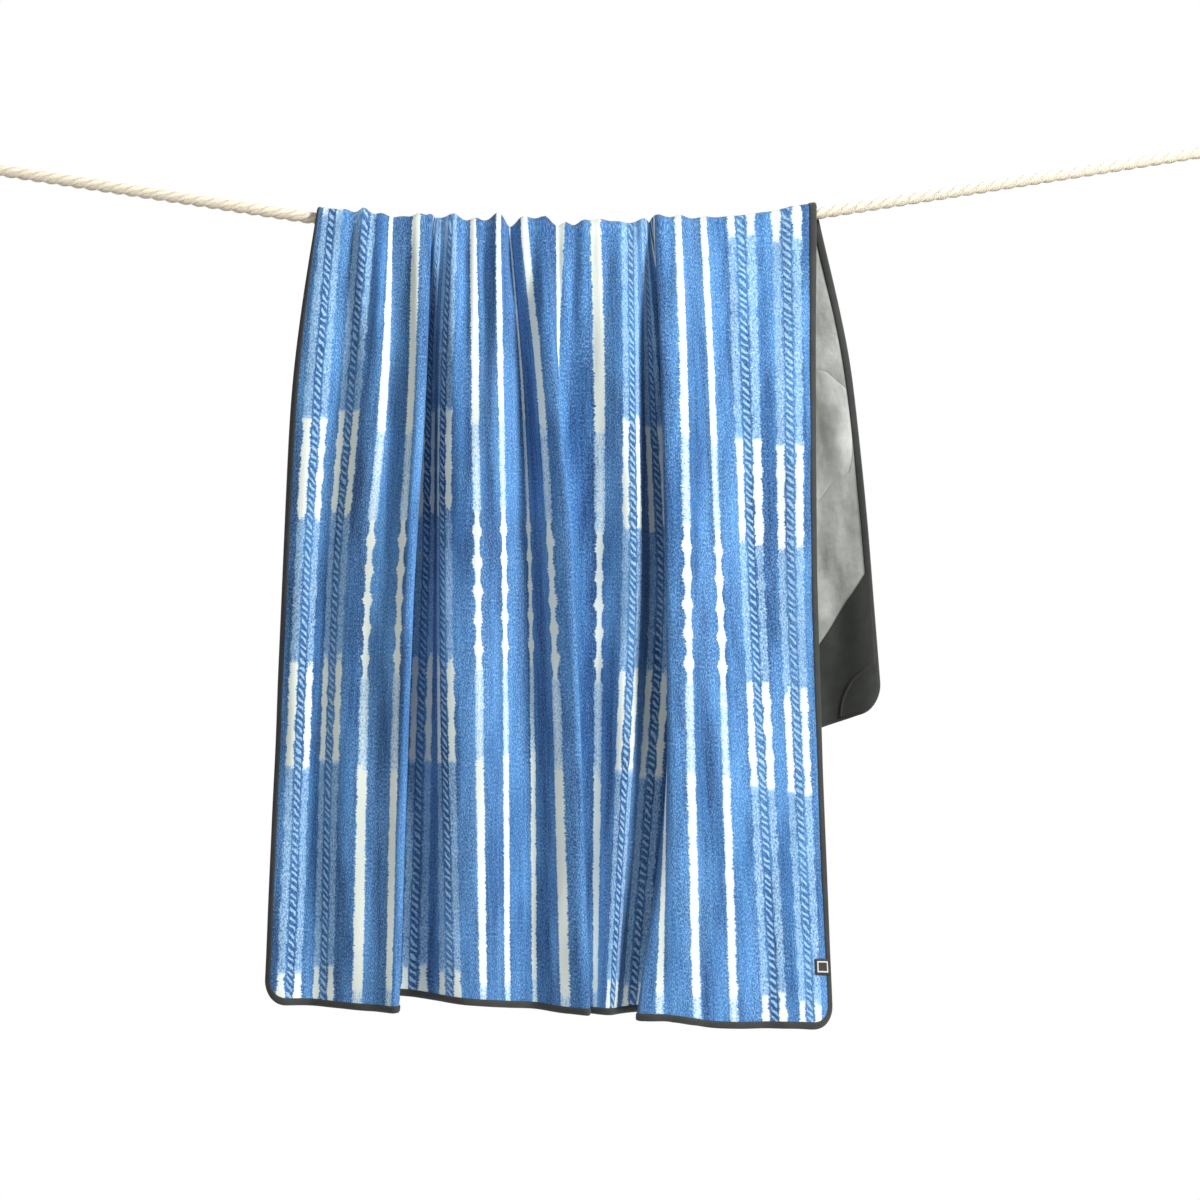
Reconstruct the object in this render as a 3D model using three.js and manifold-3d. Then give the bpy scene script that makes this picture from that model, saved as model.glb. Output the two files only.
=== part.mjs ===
// A fleece-faced beach and picnic blanket with a coated backing, hung over a taut cotton rope.
// Millimetres, +Z up. The rope runs along X and the origin is on its centre line, at its lowest point.
// The blanket's printed face looks outwards on both drops, so its coated backing faces the rope.
import * as THREE from 'three';
import Module from 'manifold-3d';
import { mergeVertices } from 'three/addons/utils/BufferGeometryUtils.js';

const wasm = await Module();
wasm.setup();

// Driving dimensions of the blanket
const blanketWidth = 1422;
const blanketLength = 1778;
const cornerRadius = 33;
const faceThickness = 1.9;
const backingThickness = 0.6;
const layerGap = 0.4;
const tapeWidth = 9;
const tapeThickness = 3.6;
const tapeGap = 0.8;
const panelLeg = 193;
const panelThickness = 0.7;
const pocketRadius = 62;
const pocketThickness = 0.7;
const labelWidth = 24;
const labelHeight = 21;
const labelThickness = 0.8;
const labelAboveHem = 72;
const labelOverTape = 4;

// Length of the front drop, from the crown over the rope to the hem, at places across the blanket.
const frontLengthPlaces = [0, 0.17, 0.35, 0.6, 0.82, 0.88, 1];
const frontLengths = [1059, 1040, 1026, 1037, 1046, 1064, 1094];

// Driving dimensions of the line
const ropeDiameter = 16;
const ropeClearance = 1.3;
const socketWall = 2.5;
const socketDepth = 26;
const socketFloor = 6;
const plateSize = 64;
const plateThickness = 5;
const plateHoleDiameter = 5.5;
const plateHoleSpacing = 46;
const boreClearance = 0.35;
const boreOverrun = 10;
const roundSides = 32;
const holeSides = 20;

// Centre line of the rope, as X and Z. It sags under the blanket and runs straight outside it.
const ropeLine = [
  [-822, 102], [-640, 74.2], [-480, 49.8], [-337, 28], [-180, 8.5], [0, 0],
  [170, 9.5], [334, 35], [500, 61.4], [700, 93.4], [906, 126.4],
];

// The fold columns, from the left edge of the front to the right. Each has its place across the flat
// blanket, then where it hangs along the rope (x) and how far it stands out (out), both for a blanket of
// foldTableWidth. The front has a value at the rope, the shoulder, the waist and the hem; the back has
// one at the shoulder and one at the hem.
const foldTableWidth = 1422;
const frontStations = [0, 0.22, 0.49, 1];
const backStations = [0, 0.36, 1];
const folds = [
  { flat: 0, x: [-331, -361, -376, -398], out: [1, 14, 22, 26], backX: [-334, -336], backOut: [8, 12] },
  { flat: 28, x: [-318, -335, -351, -374], out: [2, 30, 38, 36], backX: [-312, -310], backOut: [20, 26] },
  { flat: 68, x: [-284, -302, -321, -339], out: [1, 12, 20, 20], backX: [-281, -272], backOut: [2, 2] },
  { flat: 120, x: [-244, -258, -281, -296], out: [3, 44, 54, 46], backX: [-242, -228], backOut: [30, 44] },
  { flat: 172, x: [-222, -222, -239, -250], out: [2, 42, 62, 58], backX: [-214, -196], backOut: [4, 2] },
  { flat: 216, x: [-186, -191, -205, -222], out: [11, 70, 90, 82], backX: [-186, -164], backOut: [40, 54] },
  { flat: 236, x: [-181, -190, -208, -228], out: [8, 48, 62, 54], backX: [-178, -150], backOut: [36, 44] },
  { flat: 340, x: [-176, -262, -304, -320], out: [0, 3, 3, 2], backX: [-166, -126], backOut: [2, 2] },
  { flat: 468, x: [-170, -180, -184, -203], out: [4, 6, 8, 10], backX: [-150, -96], backOut: [36, 62] },
  { flat: 522, x: [-155, -163, -164, -152], out: [11, 42, 52, 44], backX: [-130, -76], backOut: [44, 50] },
  { flat: 578, x: [-124, -118, -114, -108], out: [3, 52, 66, 58], backX: [-108, -52], backOut: [4, 2] },
  { flat: 631, x: [-90, -87, -83, -79], out: [13, 60, 44, 46], backX: [-84, -28], backOut: [34, 48] },
  { flat: 684, x: [-78, -60, -48, -43], out: [1, 6, 20, 26], backX: [-62, -6], backOut: [4, 2] },
  { flat: 737, x: [-60, -35, -19, -3], out: [12, 40, 56, 54], backX: [-38, 22], backOut: [40, 56] },
  { flat: 770, x: [-30, -11, 10, 29], out: [11, 58, 76, 70], backX: [-24, 40], backOut: [40, 60] },
  { flat: 796, x: [-6, -16, -2, 16], out: [2, 16, 22, 18], backX: [-2, 66], backOut: [2, 2] },
  { flat: 843, x: [34, 42, 40, 36], out: [13, 44, 32, 26], backX: [28, 94], backOut: [32, 44] },
  { flat: 899, x: [84, 84, 84, 56], out: [2, 52, 58, 34], backX: [62, 124], backOut: [6, 4] },
  { flat: 953, x: [101, 108, 118, 80], out: [11, 8, 8, 6], backX: [88, 150], backOut: [42, 60] },
  { flat: 1060, x: [106, 182, 220, 190], out: [1, 2, 2, 2], backX: [118, 176], backOut: [2, 2] },
  { flat: 1120, x: [110, 150, 166, 84], out: [8, 26, 28, 60], backX: [142, 202], backOut: [26, 40] },
  { flat: 1190, x: [116, 121, 126, 138], out: [11, 60, 74, 68], backX: [170, 226], backOut: [44, 58] },
  { flat: 1222, x: [145, 152, 156, 168], out: [8, 62, 76, 58], backX: [196, 250], backOut: [30, 30] },
  { flat: 1275, x: [176, 186, 197, 216], out: [3, 44, 56, 52], backX: [240, 292], backOut: [6, 10] },
  { flat: 1330, x: [226, 232, 242, 272], out: [2, 28, 36, 34], backX: [290, 338], backOut: [22, 34] },
  { flat: 1384, x: [288, 291, 294, 318], out: [1, 22, 32, 38], backX: [342, 386], backOut: [12, 22] },
  { flat: 1422, x: [328, 326, 328, 348], out: [1, 16, 22, 26], backX: [378, 418], backOut: [6, 12] },
];

const wrapRadius = ropeDiameter / 2 + ropeClearance + backingThickness + layerGap;
const wrapQuarter = wrapRadius * Math.PI / 2;
const foldScale = blanketWidth / foldTableWidth;

// Value at t of a soft curve along evenly indexed control values. It is part way between the curve
// through them and the rounder one that only leans towards them.
const curveRoundness = 0.3;
function softCurve(values, t) {
  const last = values.length - 1;
  const index = Math.min(Math.floor(t), last - 1);
  const f = t - index;
  const before = index > 0 ? values[index - 1] : 2 * values[0] - values[1];
  const after = index + 2 <= last ? values[index + 2] : 2 * values[last] - values[last - 1];
  const four = [before, values[index], values[index + 1], after];
  const round = [
    (1 - f) ** 3 / 6,
    (3 * f ** 3 - 6 * f ** 2 + 4) / 6,
    (-3 * f ** 3 + 3 * f ** 2 + 3 * f + 1) / 6,
    f ** 3 / 6,
  ];
  const through = [
    (-f + 2 * f ** 2 - f ** 3) / 2,
    (2 - 5 * f ** 2 + 3 * f ** 3) / 2,
    (f + 4 * f ** 2 - 3 * f ** 3) / 2,
    (f ** 3 - f ** 2) / 2,
  ];
  return four.reduce(
    (sum, value, k) => sum + value * (curveRoundness * round[k] + (1 - curveRoundness) * through[k]),
    0,
  );
}

// Value at place of the curve through (places, values) with no overshoot between equal neighbours.
function throughCurve(places, values, place) {
  const last = places.length - 1;
  let index = 0;
  while (index < last - 1 && place > places[index + 1]) index += 1;
  const slope = (k) => {
    const low = Math.max(k - 1, 0);
    const high = Math.min(k + 1, last);
    return (values[high] - values[low]) / (places[high] - places[low]);
  };
  const span = places[index + 1] - places[index];
  const f = (place - places[index]) / span;
  if (f < 0) return values[0] + (place - places[0]) * slope(0);
  if (f > 1) return values[last] + (place - places[last]) * slope(last);
  const rise = values[index + 1] - values[index];
  const bend = slope(index) * span;
  const bendEnd = slope(index + 1) * span;
  return values[index] + bend * f + (3 * rise - 2 * bend - bendEnd) * f ** 2
    + (bend + bendEnd - 2 * rise) * f ** 3;
}

const ropeX = ropeLine.map((point) => point[0]);
const ropeZ = ropeLine.map((point) => point[1]);
const ropeHeight = (x) => throughCurve(ropeX, ropeZ, x);

const frontLengthAt = (share) => throughCurve(frontLengthPlaces, frontLengths, share);

// Index of a place across the flat blanket among the fold columns.
const foldPlaces = folds.map((fold) => fold.flat * foldScale);
function foldIndex(across) {
  const last = foldPlaces.length - 1;
  let index = 0;
  while (index < last - 1 && across > foldPlaces[index + 1]) index += 1;
  return index + (across - foldPlaces[index]) / (foldPlaces[index + 1] - foldPlaces[index]);
}

// Point of the hung blanket's middle layer. across runs from the left edge of the front, along from the
// front hem.
function drapePoint(across, along) {
  const frontLength = frontLengthAt(across / blanketWidth);
  const fromCrown = frontLength - along;
  const isFront = fromCrown >= 0;
  const drop = isFront ? frontLength : blanketLength - frontLength;
  const station = Math.abs(fromCrown) / drop;
  const places = isFront ? frontStations : backStations;
  const t = Math.min(Math.max(foldIndex(across), 0), foldPlaces.length - 1);
  const beyond = across - Math.min(Math.max(across, 0), blanketWidth);
  const xs = folds.map((f) => throughCurve(places, isFront ? f.x : [f.x[0], ...f.backX], station));
  const outs = folds.map((f) => throughCurve(places, isFront ? f.out : [f.out[0], ...f.backOut], station));
  const x = softCurve(xs, t) * foldScale + beyond;
  const out = Math.max(softCurve(outs, t), 0) * foldScale;
  const side = isFront ? -1 : 1;
  const arc = Math.min(Math.abs(fromCrown), wrapQuarter);
  const angle = arc / wrapRadius;
  const fall = Math.abs(fromCrown) - arc;
  const reach = wrapRadius + out;
  return new THREE.Vector3(
    x,
    side * Math.sin(angle) * reach,
    ropeHeight(x) + Math.cos(angle) * reach - fall,
  );
}

// Outward unit normal of the hung blanket.
function drapeNormal(across, along) {
  const step = 1.5;
  const sideways = drapePoint(across + step, along).sub(drapePoint(across - step, along));
  const upwards = drapePoint(across, along + step).sub(drapePoint(across, along - step));
  return sideways.cross(upwards).normalize();
}

// Grid of flat places that the layers share. The corner rows follow the rounded corners.
const coatInset = tapeWidth + tapeGap;
const coatRadius = cornerRadius - coatInset;
const cornerTurns = [0, Math.PI / 4, Math.PI / 2];
const frontRowShares = [0.122, 0.309, 0.515, 0.721, 0.861, 0.941];
const crownRowTurns = [-1, -0.5, 0, 0.5, 1];
const backRowShares = [0.087, 0.242, 0.496, 0.749];
const widestColumn = 45;
const crownAlong = frontLengthAt(0.5);
const rowPlaces = [
  ...cornerTurns.map((turn) => coatInset + coatRadius * (1 - Math.cos(turn))),
  ...frontRowShares.map((share) => share * crownAlong),
  ...crownRowTurns.map((turn) => crownAlong + turn * wrapQuarter),
  ...backRowShares.map((share) => crownAlong + share * (blanketLength - crownAlong)),
  ...cornerTurns.toReversed().map((turn) => blanketLength - coatInset - coatRadius * (1 - Math.cos(turn))),
];
const columnPlaces = [];
for (let index = 0; index < foldPlaces.length - 1; index += 1) {
  const span = foldPlaces[index + 1] - foldPlaces[index];
  const cells = span > widestColumn * foldScale ? 2 : 1;
  for (let cell = 0; cell < cells; cell += 1) columnPlaces.push(foldPlaces[index] + span * cell / cells);
}
columnPlaces.push(blanketWidth);

// How far the coated cloth's edge is from the flat blanket's side on one row.
function rowInset(along) {
  const fromEnd = Math.min(along, blanketLength - along) - coatInset;
  const inCorner = Math.max(coatRadius - fromEnd, 0);
  return coatInset + coatRadius - Math.sqrt(coatRadius ** 2 - Math.min(inCorner, coatRadius) ** 2);
}

// The crown rows follow the rope, whose place along the blanket changes across it.
function gridPlace(column, row) {
  const along = rowPlaces[row];
  const inset = rowInset(along);
  const share = columnPlaces[column] / blanketWidth;
  const across = inset + (blanketWidth - 2 * inset) * share;
  const skew = frontLengthAt(share) - crownAlong;
  const weight = Math.min(along / crownAlong, (blanketLength - along) / (blanketLength - crownAlong));
  return { across, along: along + skew * weight };
}

const columnCount = columnPlaces.length;
const rowCount = rowPlaces.length;
const grid = [];
for (let row = 0; row < rowCount; row += 1) {
  const line = [];
  for (let column = 0; column < columnCount; column += 1) {
    const { across, along } = gridPlace(column, row);
    line.push({ across, along, point: drapePoint(across, along), normal: drapeNormal(across, along) });
  }
  grid.push(line);
}

// Closed geometry from vertices and triangles.
function closedGeometry(points, triangles) {
  const geometry = new THREE.BufferGeometry();
  geometry.setAttribute('position', new THREE.Float32BufferAttribute(points.flatMap((p) => p.toArray()), 3));
  geometry.setIndex(triangles.flat());
  return geometry;
}

// A layer of cloth over a block of the grid, between two distances from the middle layer.
function layerGeometry(inner, outer, columns, rows) {
  const [columnStart, columnEnd] = columns;
  const [rowStart, rowEnd] = rows;
  const wide = columnEnd - columnStart + 1;
  const tall = rowEnd - rowStart + 1;
  const points = [];
  for (const distance of [outer, inner]) {
    for (let row = rowStart; row <= rowEnd; row += 1) {
      for (let column = columnStart; column <= columnEnd; column += 1) {
        const { point, normal } = grid[row][column];
        points.push(point.clone().addScaledVector(normal, distance));
      }
    }
  }
  const at = (side, row, column) => side * wide * tall + row * wide + column;
  const triangles = [];
  const addQuad = (a, b, c, d) => triangles.push([a, b, c], [a, c, d]);
  for (let row = 0; row < tall - 1; row += 1) {
    for (let column = 0; column < wide - 1; column += 1) {
      addQuad(at(0, row, column), at(0, row, column + 1), at(0, row + 1, column + 1), at(0, row + 1, column));
      triangles.push([at(1, row, column), at(1, row + 1, column + 1), at(1, row, column + 1)]);
      triangles.push([at(1, row, column), at(1, row + 1, column), at(1, row + 1, column + 1)]);
    }
  }
  for (let column = 0; column < wide - 1; column += 1) {
    addQuad(at(0, 0, column), at(1, 0, column), at(1, 0, column + 1), at(0, 0, column + 1));
    const top = tall - 1;
    addQuad(at(0, top, column), at(0, top, column + 1), at(1, top, column + 1), at(1, top, column));
  }
  for (let row = 0; row < tall - 1; row += 1) {
    addQuad(at(0, row, 0), at(0, row + 1, 0), at(1, row + 1, 0), at(1, row, 0));
    const side = wide - 1;
    addQuad(at(0, row, side), at(1, row, side), at(1, row + 1, side), at(0, row + 1, side));
  }
  return closedGeometry(points, triangles);
}

// Solids for cutting and joining.
function solidOf(geometry) {
  const bare = geometry.clone();
  bare.deleteAttribute('normal');
  bare.deleteAttribute('uv');
  const merged = mergeVertices(bare, 1e-4);
  return new wasm.Manifold(new wasm.Mesh({
    numProp: 3,
    vertProperties: new Float32Array(merged.attributes.position.array),
    triVerts: new Uint32Array(merged.index.array),
  }));
}

function geometryOf(solid) {
  const mesh = solid.getMesh();
  const geometry = new THREE.BufferGeometry();
  geometry.setAttribute('position', new THREE.BufferAttribute(mesh.vertProperties, 3));
  geometry.setIndex(new THREE.BufferAttribute(mesh.triVerts, 1));
  return geometry;
}

// The edge tape, one closed ring just outside the coated cloth.
function tapeGeometry() {
  const ring = [];
  for (let row = 0; row < rowCount; row += 1) ring.push([0, row]);
  for (let column = 1; column < columnCount; column += 1) ring.push([column, rowCount - 1]);
  for (let row = rowCount - 2; row >= 0; row -= 1) ring.push([columnCount - 1, row]);
  for (let column = columnCount - 2; column > 0; column -= 1) ring.push([column, 0]);
  const points = [];
  for (const [column, row] of ring) {
    const { across, along } = grid[row][column];
    const straight = rowPlaces[row];
    const reachX = blanketWidth / 2 - coatInset - coatRadius;
    const reachY = blanketLength / 2 - coatInset - coatRadius;
    const overX = across - blanketWidth / 2;
    const overY = straight - blanketLength / 2;
    const outX = Math.sign(overX) * Math.max(Math.abs(overX) - reachX, 0);
    const outY = Math.sign(overY) * Math.max(Math.abs(overY) - reachY, 0);
    const size = Math.hypot(outX, outY);
    for (const [distance, height] of [[tapeGap, 1], [coatInset, 1], [coatInset, -1], [tapeGap, -1]]) {
      const sideways = across + distance * outX / size;
      const lengthways = along + distance * outY / size;
      const normal = drapeNormal(sideways, lengthways);
      points.push(drapePoint(sideways, lengthways).addScaledVector(normal, height * tapeThickness / 2));
    }
  }
  const triangles = [];
  const sectionSides = 4;
  for (let station = 0; station < ring.length; station += 1) {
    const here = station * sectionSides;
    const next = ((station + 1) % ring.length) * sectionSides;
    for (let side = 0; side < sectionSides; side += 1) {
      const other = (side + 1) % sectionSides;
      triangles.push([here + side, next + side, next + other], [here + side, next + other, here + other]);
    }
  }
  return closedGeometry(points, triangles);
}

// The four corners: the grid block that covers each, and the flat corner it belongs to.
const columnAtLeg = columnPlaces.findIndex((place) => place > panelLeg);
const columnAtFarLeg = columnPlaces.findLastIndex((place) => place < blanketWidth - panelLeg);
const rowAtLeg = rowPlaces.findIndex((place) => place > panelLeg);
const rowAtFarLeg = rowPlaces.findLastIndex((place) => place < blanketLength - panelLeg);
const corners = [
  { name: 'front_left', across: 0, along: 0 },
  { name: 'front_right', across: blanketWidth, along: 0 },
  { name: 'back_left', across: 0, along: blanketLength },
  { name: 'back_right', across: blanketWidth, along: blanketLength },
];

function cornerLayer(corner, inner, outer) {
  const columns = corner.across === 0 ? [0, columnAtLeg] : [columnAtFarLeg, columnCount - 1];
  const rows = corner.along === 0 ? [0, rowAtLeg] : [rowAtFarLeg, rowCount - 1];
  return solidOf(layerGeometry(inner, outer, columns, rows));
}

// Panel edge: a straight cut at 45 degrees between the two ends of the legs.
const cutterDepth = 600;
function cornerPanel(corner) {
  const outer = -backingThickness - 2 * layerGap + layerGap / 2;
  const layer = cornerLayer(corner, outer - panelThickness, outer);
  const inwardX = corner.across === 0 ? 1 : -1;
  const inwardZ = corner.along === 0 ? 1 : -1;
  const point = drapePoint(corner.across, corner.along);
  const sideEnd = drapePoint(corner.across, corner.along + inwardZ * panelLeg);
  const hemEnd = drapePoint(corner.across + inwardX * panelLeg, corner.along);
  const reach = 3 * panelLeg;
  const middle = sideEnd.clone().add(hemEnd).multiplyScalar(0.5);
  const edge = hemEnd.clone().sub(sideEnd);
  const angle = Math.atan2(edge.z, edge.x);
  const outward = new THREE.Vector2(-Math.sin(angle), Math.cos(angle));
  const towards = Math.sign(outward.x * (point.x - middle.x) + outward.y * (point.z - middle.z));
  const box = new THREE.BoxGeometry(2 * reach, cutterDepth, reach);
  box.rotateY(-angle);
  box.translate(
    middle.x + towards * outward.x * reach / 2,
    0,
    middle.z + towards * outward.y * reach / 2,
  );
  return geometryOf(layer.intersect(solidOf(box)));
}

// Pocket: a quarter-round patch over the panel, in the very corner.
const pocketSides = 48;
function cornerPocket(corner) {
  const outer = -backingThickness - 1.5 * layerGap - panelThickness - layerGap;
  const layer = cornerLayer(corner, outer - pocketThickness, outer);
  const point = drapePoint(corner.across, corner.along);
  const round = new THREE.CylinderGeometry(pocketRadius, pocketRadius, cutterDepth, pocketSides);
  round.translate(point.x, 0, point.z);
  return geometryOf(layer.intersect(solidOf(round)));
}

// Woven label on the front, at the right edge above the hem. It lies over the tape's inner edge.
function labelGeometry() {
  const right = blanketWidth - labelOverTape;
  const left = right - labelWidth;
  const lift = Math.max(tapeThickness / 2, faceThickness + layerGap / 2) + layerGap;
  const points = [];
  for (const distance of [lift + labelThickness, lift]) {
    for (const along of [labelAboveHem, labelAboveHem + labelHeight]) {
      for (const across of [left, right]) {
        const normal = drapeNormal(right - labelWidth / 2, along);
        points.push(drapePoint(across, along).addScaledVector(normal, distance));
      }
    }
  }
  const triangles = [
    [0, 1, 3], [0, 3, 2], [4, 7, 5], [4, 6, 7], [0, 4, 5], [0, 5, 1],
    [2, 3, 7], [2, 7, 6], [0, 2, 6], [0, 6, 4], [1, 5, 7], [1, 7, 3],
  ];
  return closedGeometry(points, triangles);
}

// The rope, a plain round tube along its centre line.
const ropeSteps = 48;
const ropeArcDivisions = 5;
function ropePoint(x) {
  return new THREE.Vector3(x, 0, ropeHeight(x));
}

function ropeGeometry() {
  const samples = [];
  const sampleCount = 40;
  const start = ropeX[0];
  const end = ropeX[ropeX.length - 1];
  for (let k = 0; k <= sampleCount; k += 1) samples.push(ropePoint(start + (end - start) * k / sampleCount));
  const section = new THREE.Shape();
  section.absarc(0, 0, ropeDiameter / 2, 0, 2 * Math.PI);
  return new THREE.ExtrudeGeometry(section, {
    steps: ropeSteps,
    curveSegments: ropeArcDivisions,
    extrudePath: new THREE.CatmullRomCurve3(samples),
  });
}

// End socket: a square wall plate with two screw holes and a round cup that the rope's end sits in.
function socketGeometry(side) {
  const endX = side < 0 ? ropeX[0] : ropeX[ropeX.length - 1];
  const end = ropePoint(endX);
  const nearEnd = ropePoint(endX - side * socketDepth);
  const direction = end.clone().sub(nearEnd).normalize();
  const turn = new THREE.Quaternion().setFromUnitVectors(new THREE.Vector3(0, 1, 0), direction);
  const boreRadius = ropeDiameter / 2 + boreClearance;
  const cupRadius = boreRadius + socketWall;
  const cupLength = socketDepth + boreClearance + socketFloor;
  const cup = new THREE.CylinderGeometry(cupRadius, cupRadius, cupLength, roundSides);
  cup.translate(0, cupLength / 2 - socketDepth, 0);
  cup.applyQuaternion(turn);
  cup.translate(end.x, end.y, end.z);
  const boreLength = socketDepth + boreOverrun;
  const bore = new THREE.CylinderGeometry(boreRadius, boreRadius, boreLength, roundSides);
  bore.translate(0, boreClearance - boreLength / 2, 0);
  bore.applyQuaternion(turn);
  bore.translate(end.x, end.y, end.z);
  const plateX = end.x + side * (boreClearance + socketFloor);
  const plate = new THREE.BoxGeometry(plateThickness, plateSize, plateSize);
  plate.translate(plateX + side * plateThickness / 2, 0, end.z);
  let solid = solidOf(plate).add(solidOf(cup));
  const wallSide = new THREE.BoxGeometry(plateSize, 2 * plateSize, 2 * plateSize);
  wallSide.translate(plateX + side * (plateThickness + plateSize / 2), 0, end.z);
  solid = solid.subtract(solidOf(wallSide)).subtract(solidOf(bore));
  for (const offset of [-plateHoleSpacing / 2, plateHoleSpacing / 2]) {
    const holeRadius = plateHoleDiameter / 2;
    const hole = new THREE.CylinderGeometry(holeRadius, holeRadius, plateSize, holeSides);
    hole.rotateZ(Math.PI / 2);
    hole.translate(plateX, offset, end.z + offset);
    solid = solid.subtract(solidOf(hole));
  }
  return geometryOf(solid);
}

const faceMaterial = new THREE.MeshStandardMaterial({ color: 0x3d74b4, roughness: 0.95, metalness: 0 });
const backingMaterial = new THREE.MeshStandardMaterial({ color: 0x9b9d98, roughness: 0.45, metalness: 0.35 });
const charcoalMaterial = new THREE.MeshStandardMaterial({ color: 0x32332f, roughness: 0.8, metalness: 0 });
const labelMaterial = new THREE.MeshStandardMaterial({ color: 0x141518, roughness: 0.75, metalness: 0 });
const ropeMaterial = new THREE.MeshStandardMaterial({ color: 0xd5c8ab, roughness: 0.9, metalness: 0 });
const steelMaterial = new THREE.MeshStandardMaterial({ color: 0xa5a7aa, roughness: 0.35, metalness: 1 });

const group = new THREE.Group();
function addPart(name, geometry, material) {
  const mesh = new THREE.Mesh(geometry, material);
  mesh.name = name;
  group.add(mesh);
}

const wholeGrid = [[0, columnCount - 1], [0, rowCount - 1]];
addPart('face_fabric', layerGeometry(layerGap / 2, layerGap / 2 + faceThickness, ...wholeGrid), faceMaterial);
addPart(
  'backing_fabric',
  layerGeometry(-layerGap / 2 - backingThickness, -layerGap / 2, ...wholeGrid),
  backingMaterial,
);
addPart('edge_tape', tapeGeometry(), charcoalMaterial);
addPart('woven_label', labelGeometry(), labelMaterial);
for (const corner of corners) {
  addPart(`corner_panel_${corner.name}`, cornerPanel(corner), charcoalMaterial);
  addPart(`corner_pocket_${corner.name}`, cornerPocket(corner), charcoalMaterial);
}
addPart('rope', ropeGeometry(), ropeMaterial);
addPart('rope_socket_left', socketGeometry(-1), steelMaterial);
addPart('rope_socket_right', socketGeometry(1), steelMaterial);

export default group;
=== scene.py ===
import math

import bpy
import numpy as np
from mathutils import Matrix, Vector


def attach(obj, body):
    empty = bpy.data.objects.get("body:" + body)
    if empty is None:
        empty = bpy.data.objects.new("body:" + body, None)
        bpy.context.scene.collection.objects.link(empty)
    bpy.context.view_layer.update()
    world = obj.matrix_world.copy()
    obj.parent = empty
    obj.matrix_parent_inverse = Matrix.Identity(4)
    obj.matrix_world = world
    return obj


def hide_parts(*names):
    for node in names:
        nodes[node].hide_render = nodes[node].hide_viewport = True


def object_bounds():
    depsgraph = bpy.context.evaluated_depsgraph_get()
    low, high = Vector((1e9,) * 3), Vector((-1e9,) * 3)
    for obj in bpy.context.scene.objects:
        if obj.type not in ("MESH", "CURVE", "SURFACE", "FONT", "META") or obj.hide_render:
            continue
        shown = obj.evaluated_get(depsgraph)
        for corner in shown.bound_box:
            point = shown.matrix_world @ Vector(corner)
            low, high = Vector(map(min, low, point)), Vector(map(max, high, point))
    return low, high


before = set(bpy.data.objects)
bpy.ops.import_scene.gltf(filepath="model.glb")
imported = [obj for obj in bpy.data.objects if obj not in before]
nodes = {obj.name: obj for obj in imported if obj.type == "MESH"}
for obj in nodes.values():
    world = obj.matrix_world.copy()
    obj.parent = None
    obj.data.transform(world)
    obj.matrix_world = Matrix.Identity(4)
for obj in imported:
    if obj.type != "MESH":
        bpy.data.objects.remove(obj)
cadBox = [list(corner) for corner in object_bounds()]
print("frame loaded")

# Camera, before the cords.
cameraSetup = {"place": (0.042, -4.5, -0.477), "lens": 102.0, "sensor": 36.0}


def placeCamera(setup):
    data = bpy.data.cameras.new("camera")
    data.lens = setup["lens"]
    data.sensor_width = setup["sensor"]
    camera = bpy.data.objects.new("camera", data)
    camera.location = setup["place"]
    camera.rotation_euler = (math.pi / 2, 0, 0)  # level, looking along +Y
    bpy.context.collection.objects.link(camera)
    bpy.context.scene.camera = camera


placeCamera(cameraSetup)

# The route of the rope as x and z in metres. It sags under the blanket and is straight outside it.
ropeRoute = [
    (-0.822, 0.102), (-0.640, 0.0742), (-0.480, 0.0498), (-0.337, 0.028), (-0.180, 0.0085), (0.0, 0.0),
    (0.170, 0.0095), (0.334, 0.035), (0.500, 0.0614), (0.700, 0.0934), (0.906, 0.1264),
]
ropeX = np.array([point[0] for point in ropeRoute])
ropeZ = np.array([point[1] for point in ropeRoute])


# Smooth curve through values at places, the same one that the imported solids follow.
# values has one row for each curve, and place has one entry for each point wanted.
def throughCurve(places, values, place):
    places = np.asarray(places, float)
    values = np.atleast_2d(np.asarray(values, float))
    last = len(places) - 1
    index = np.searchsorted(places[1:-1], place, side="left")
    low = np.maximum(np.arange(last + 1) - 1, 0)
    high = np.minimum(np.arange(last + 1) + 1, last)
    slope = (values[:, high] - values[:, low]) / (places[high] - places[low])
    span = places[index + 1] - places[index]
    f = np.clip((place - places[index]) / span, 0, 1)
    rise = values[:, index + 1] - values[:, index]
    bend = slope[:, index] * span
    bendEnd = slope[:, index + 1] * span
    squared = 3 * rise - 2 * bend - bendEnd
    cubed = bend + bendEnd - 2 * rise
    result = values[:, index] + bend * f + squared * f**2 + cubed * f**3
    before = np.minimum(place - places[0], 0)
    beyond = np.maximum(place - places[-1], 0)
    return result + slope[:, :1] * before + slope[:, -1:] * beyond


def ropeHeight(x):
    return throughCurve(ropeX, ropeZ, np.asarray(x, float))[0]


# Small mesh helpers.
def smoothNoise(seed, scaleU, scaleV, count=14):
    # A sum of slow waves in random directions. It is the same on every run.
    random = np.random.default_rng(seed)
    waves = []
    for _ in range(count):
        turn = random.uniform(0, math.pi)
        stretch = random.uniform(0.6, 1.7)
        waves.append((
            2 * math.pi * math.cos(turn) * stretch / scaleU,
            2 * math.pi * math.sin(turn) * stretch / scaleV,
            random.uniform(0, 2 * math.pi),
        ))

    def value(u, v):
        total = sum(np.sin(a * u + b * v + c) for a, b, c in waves)
        return total * math.sqrt(2 / count)

    return value


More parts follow.
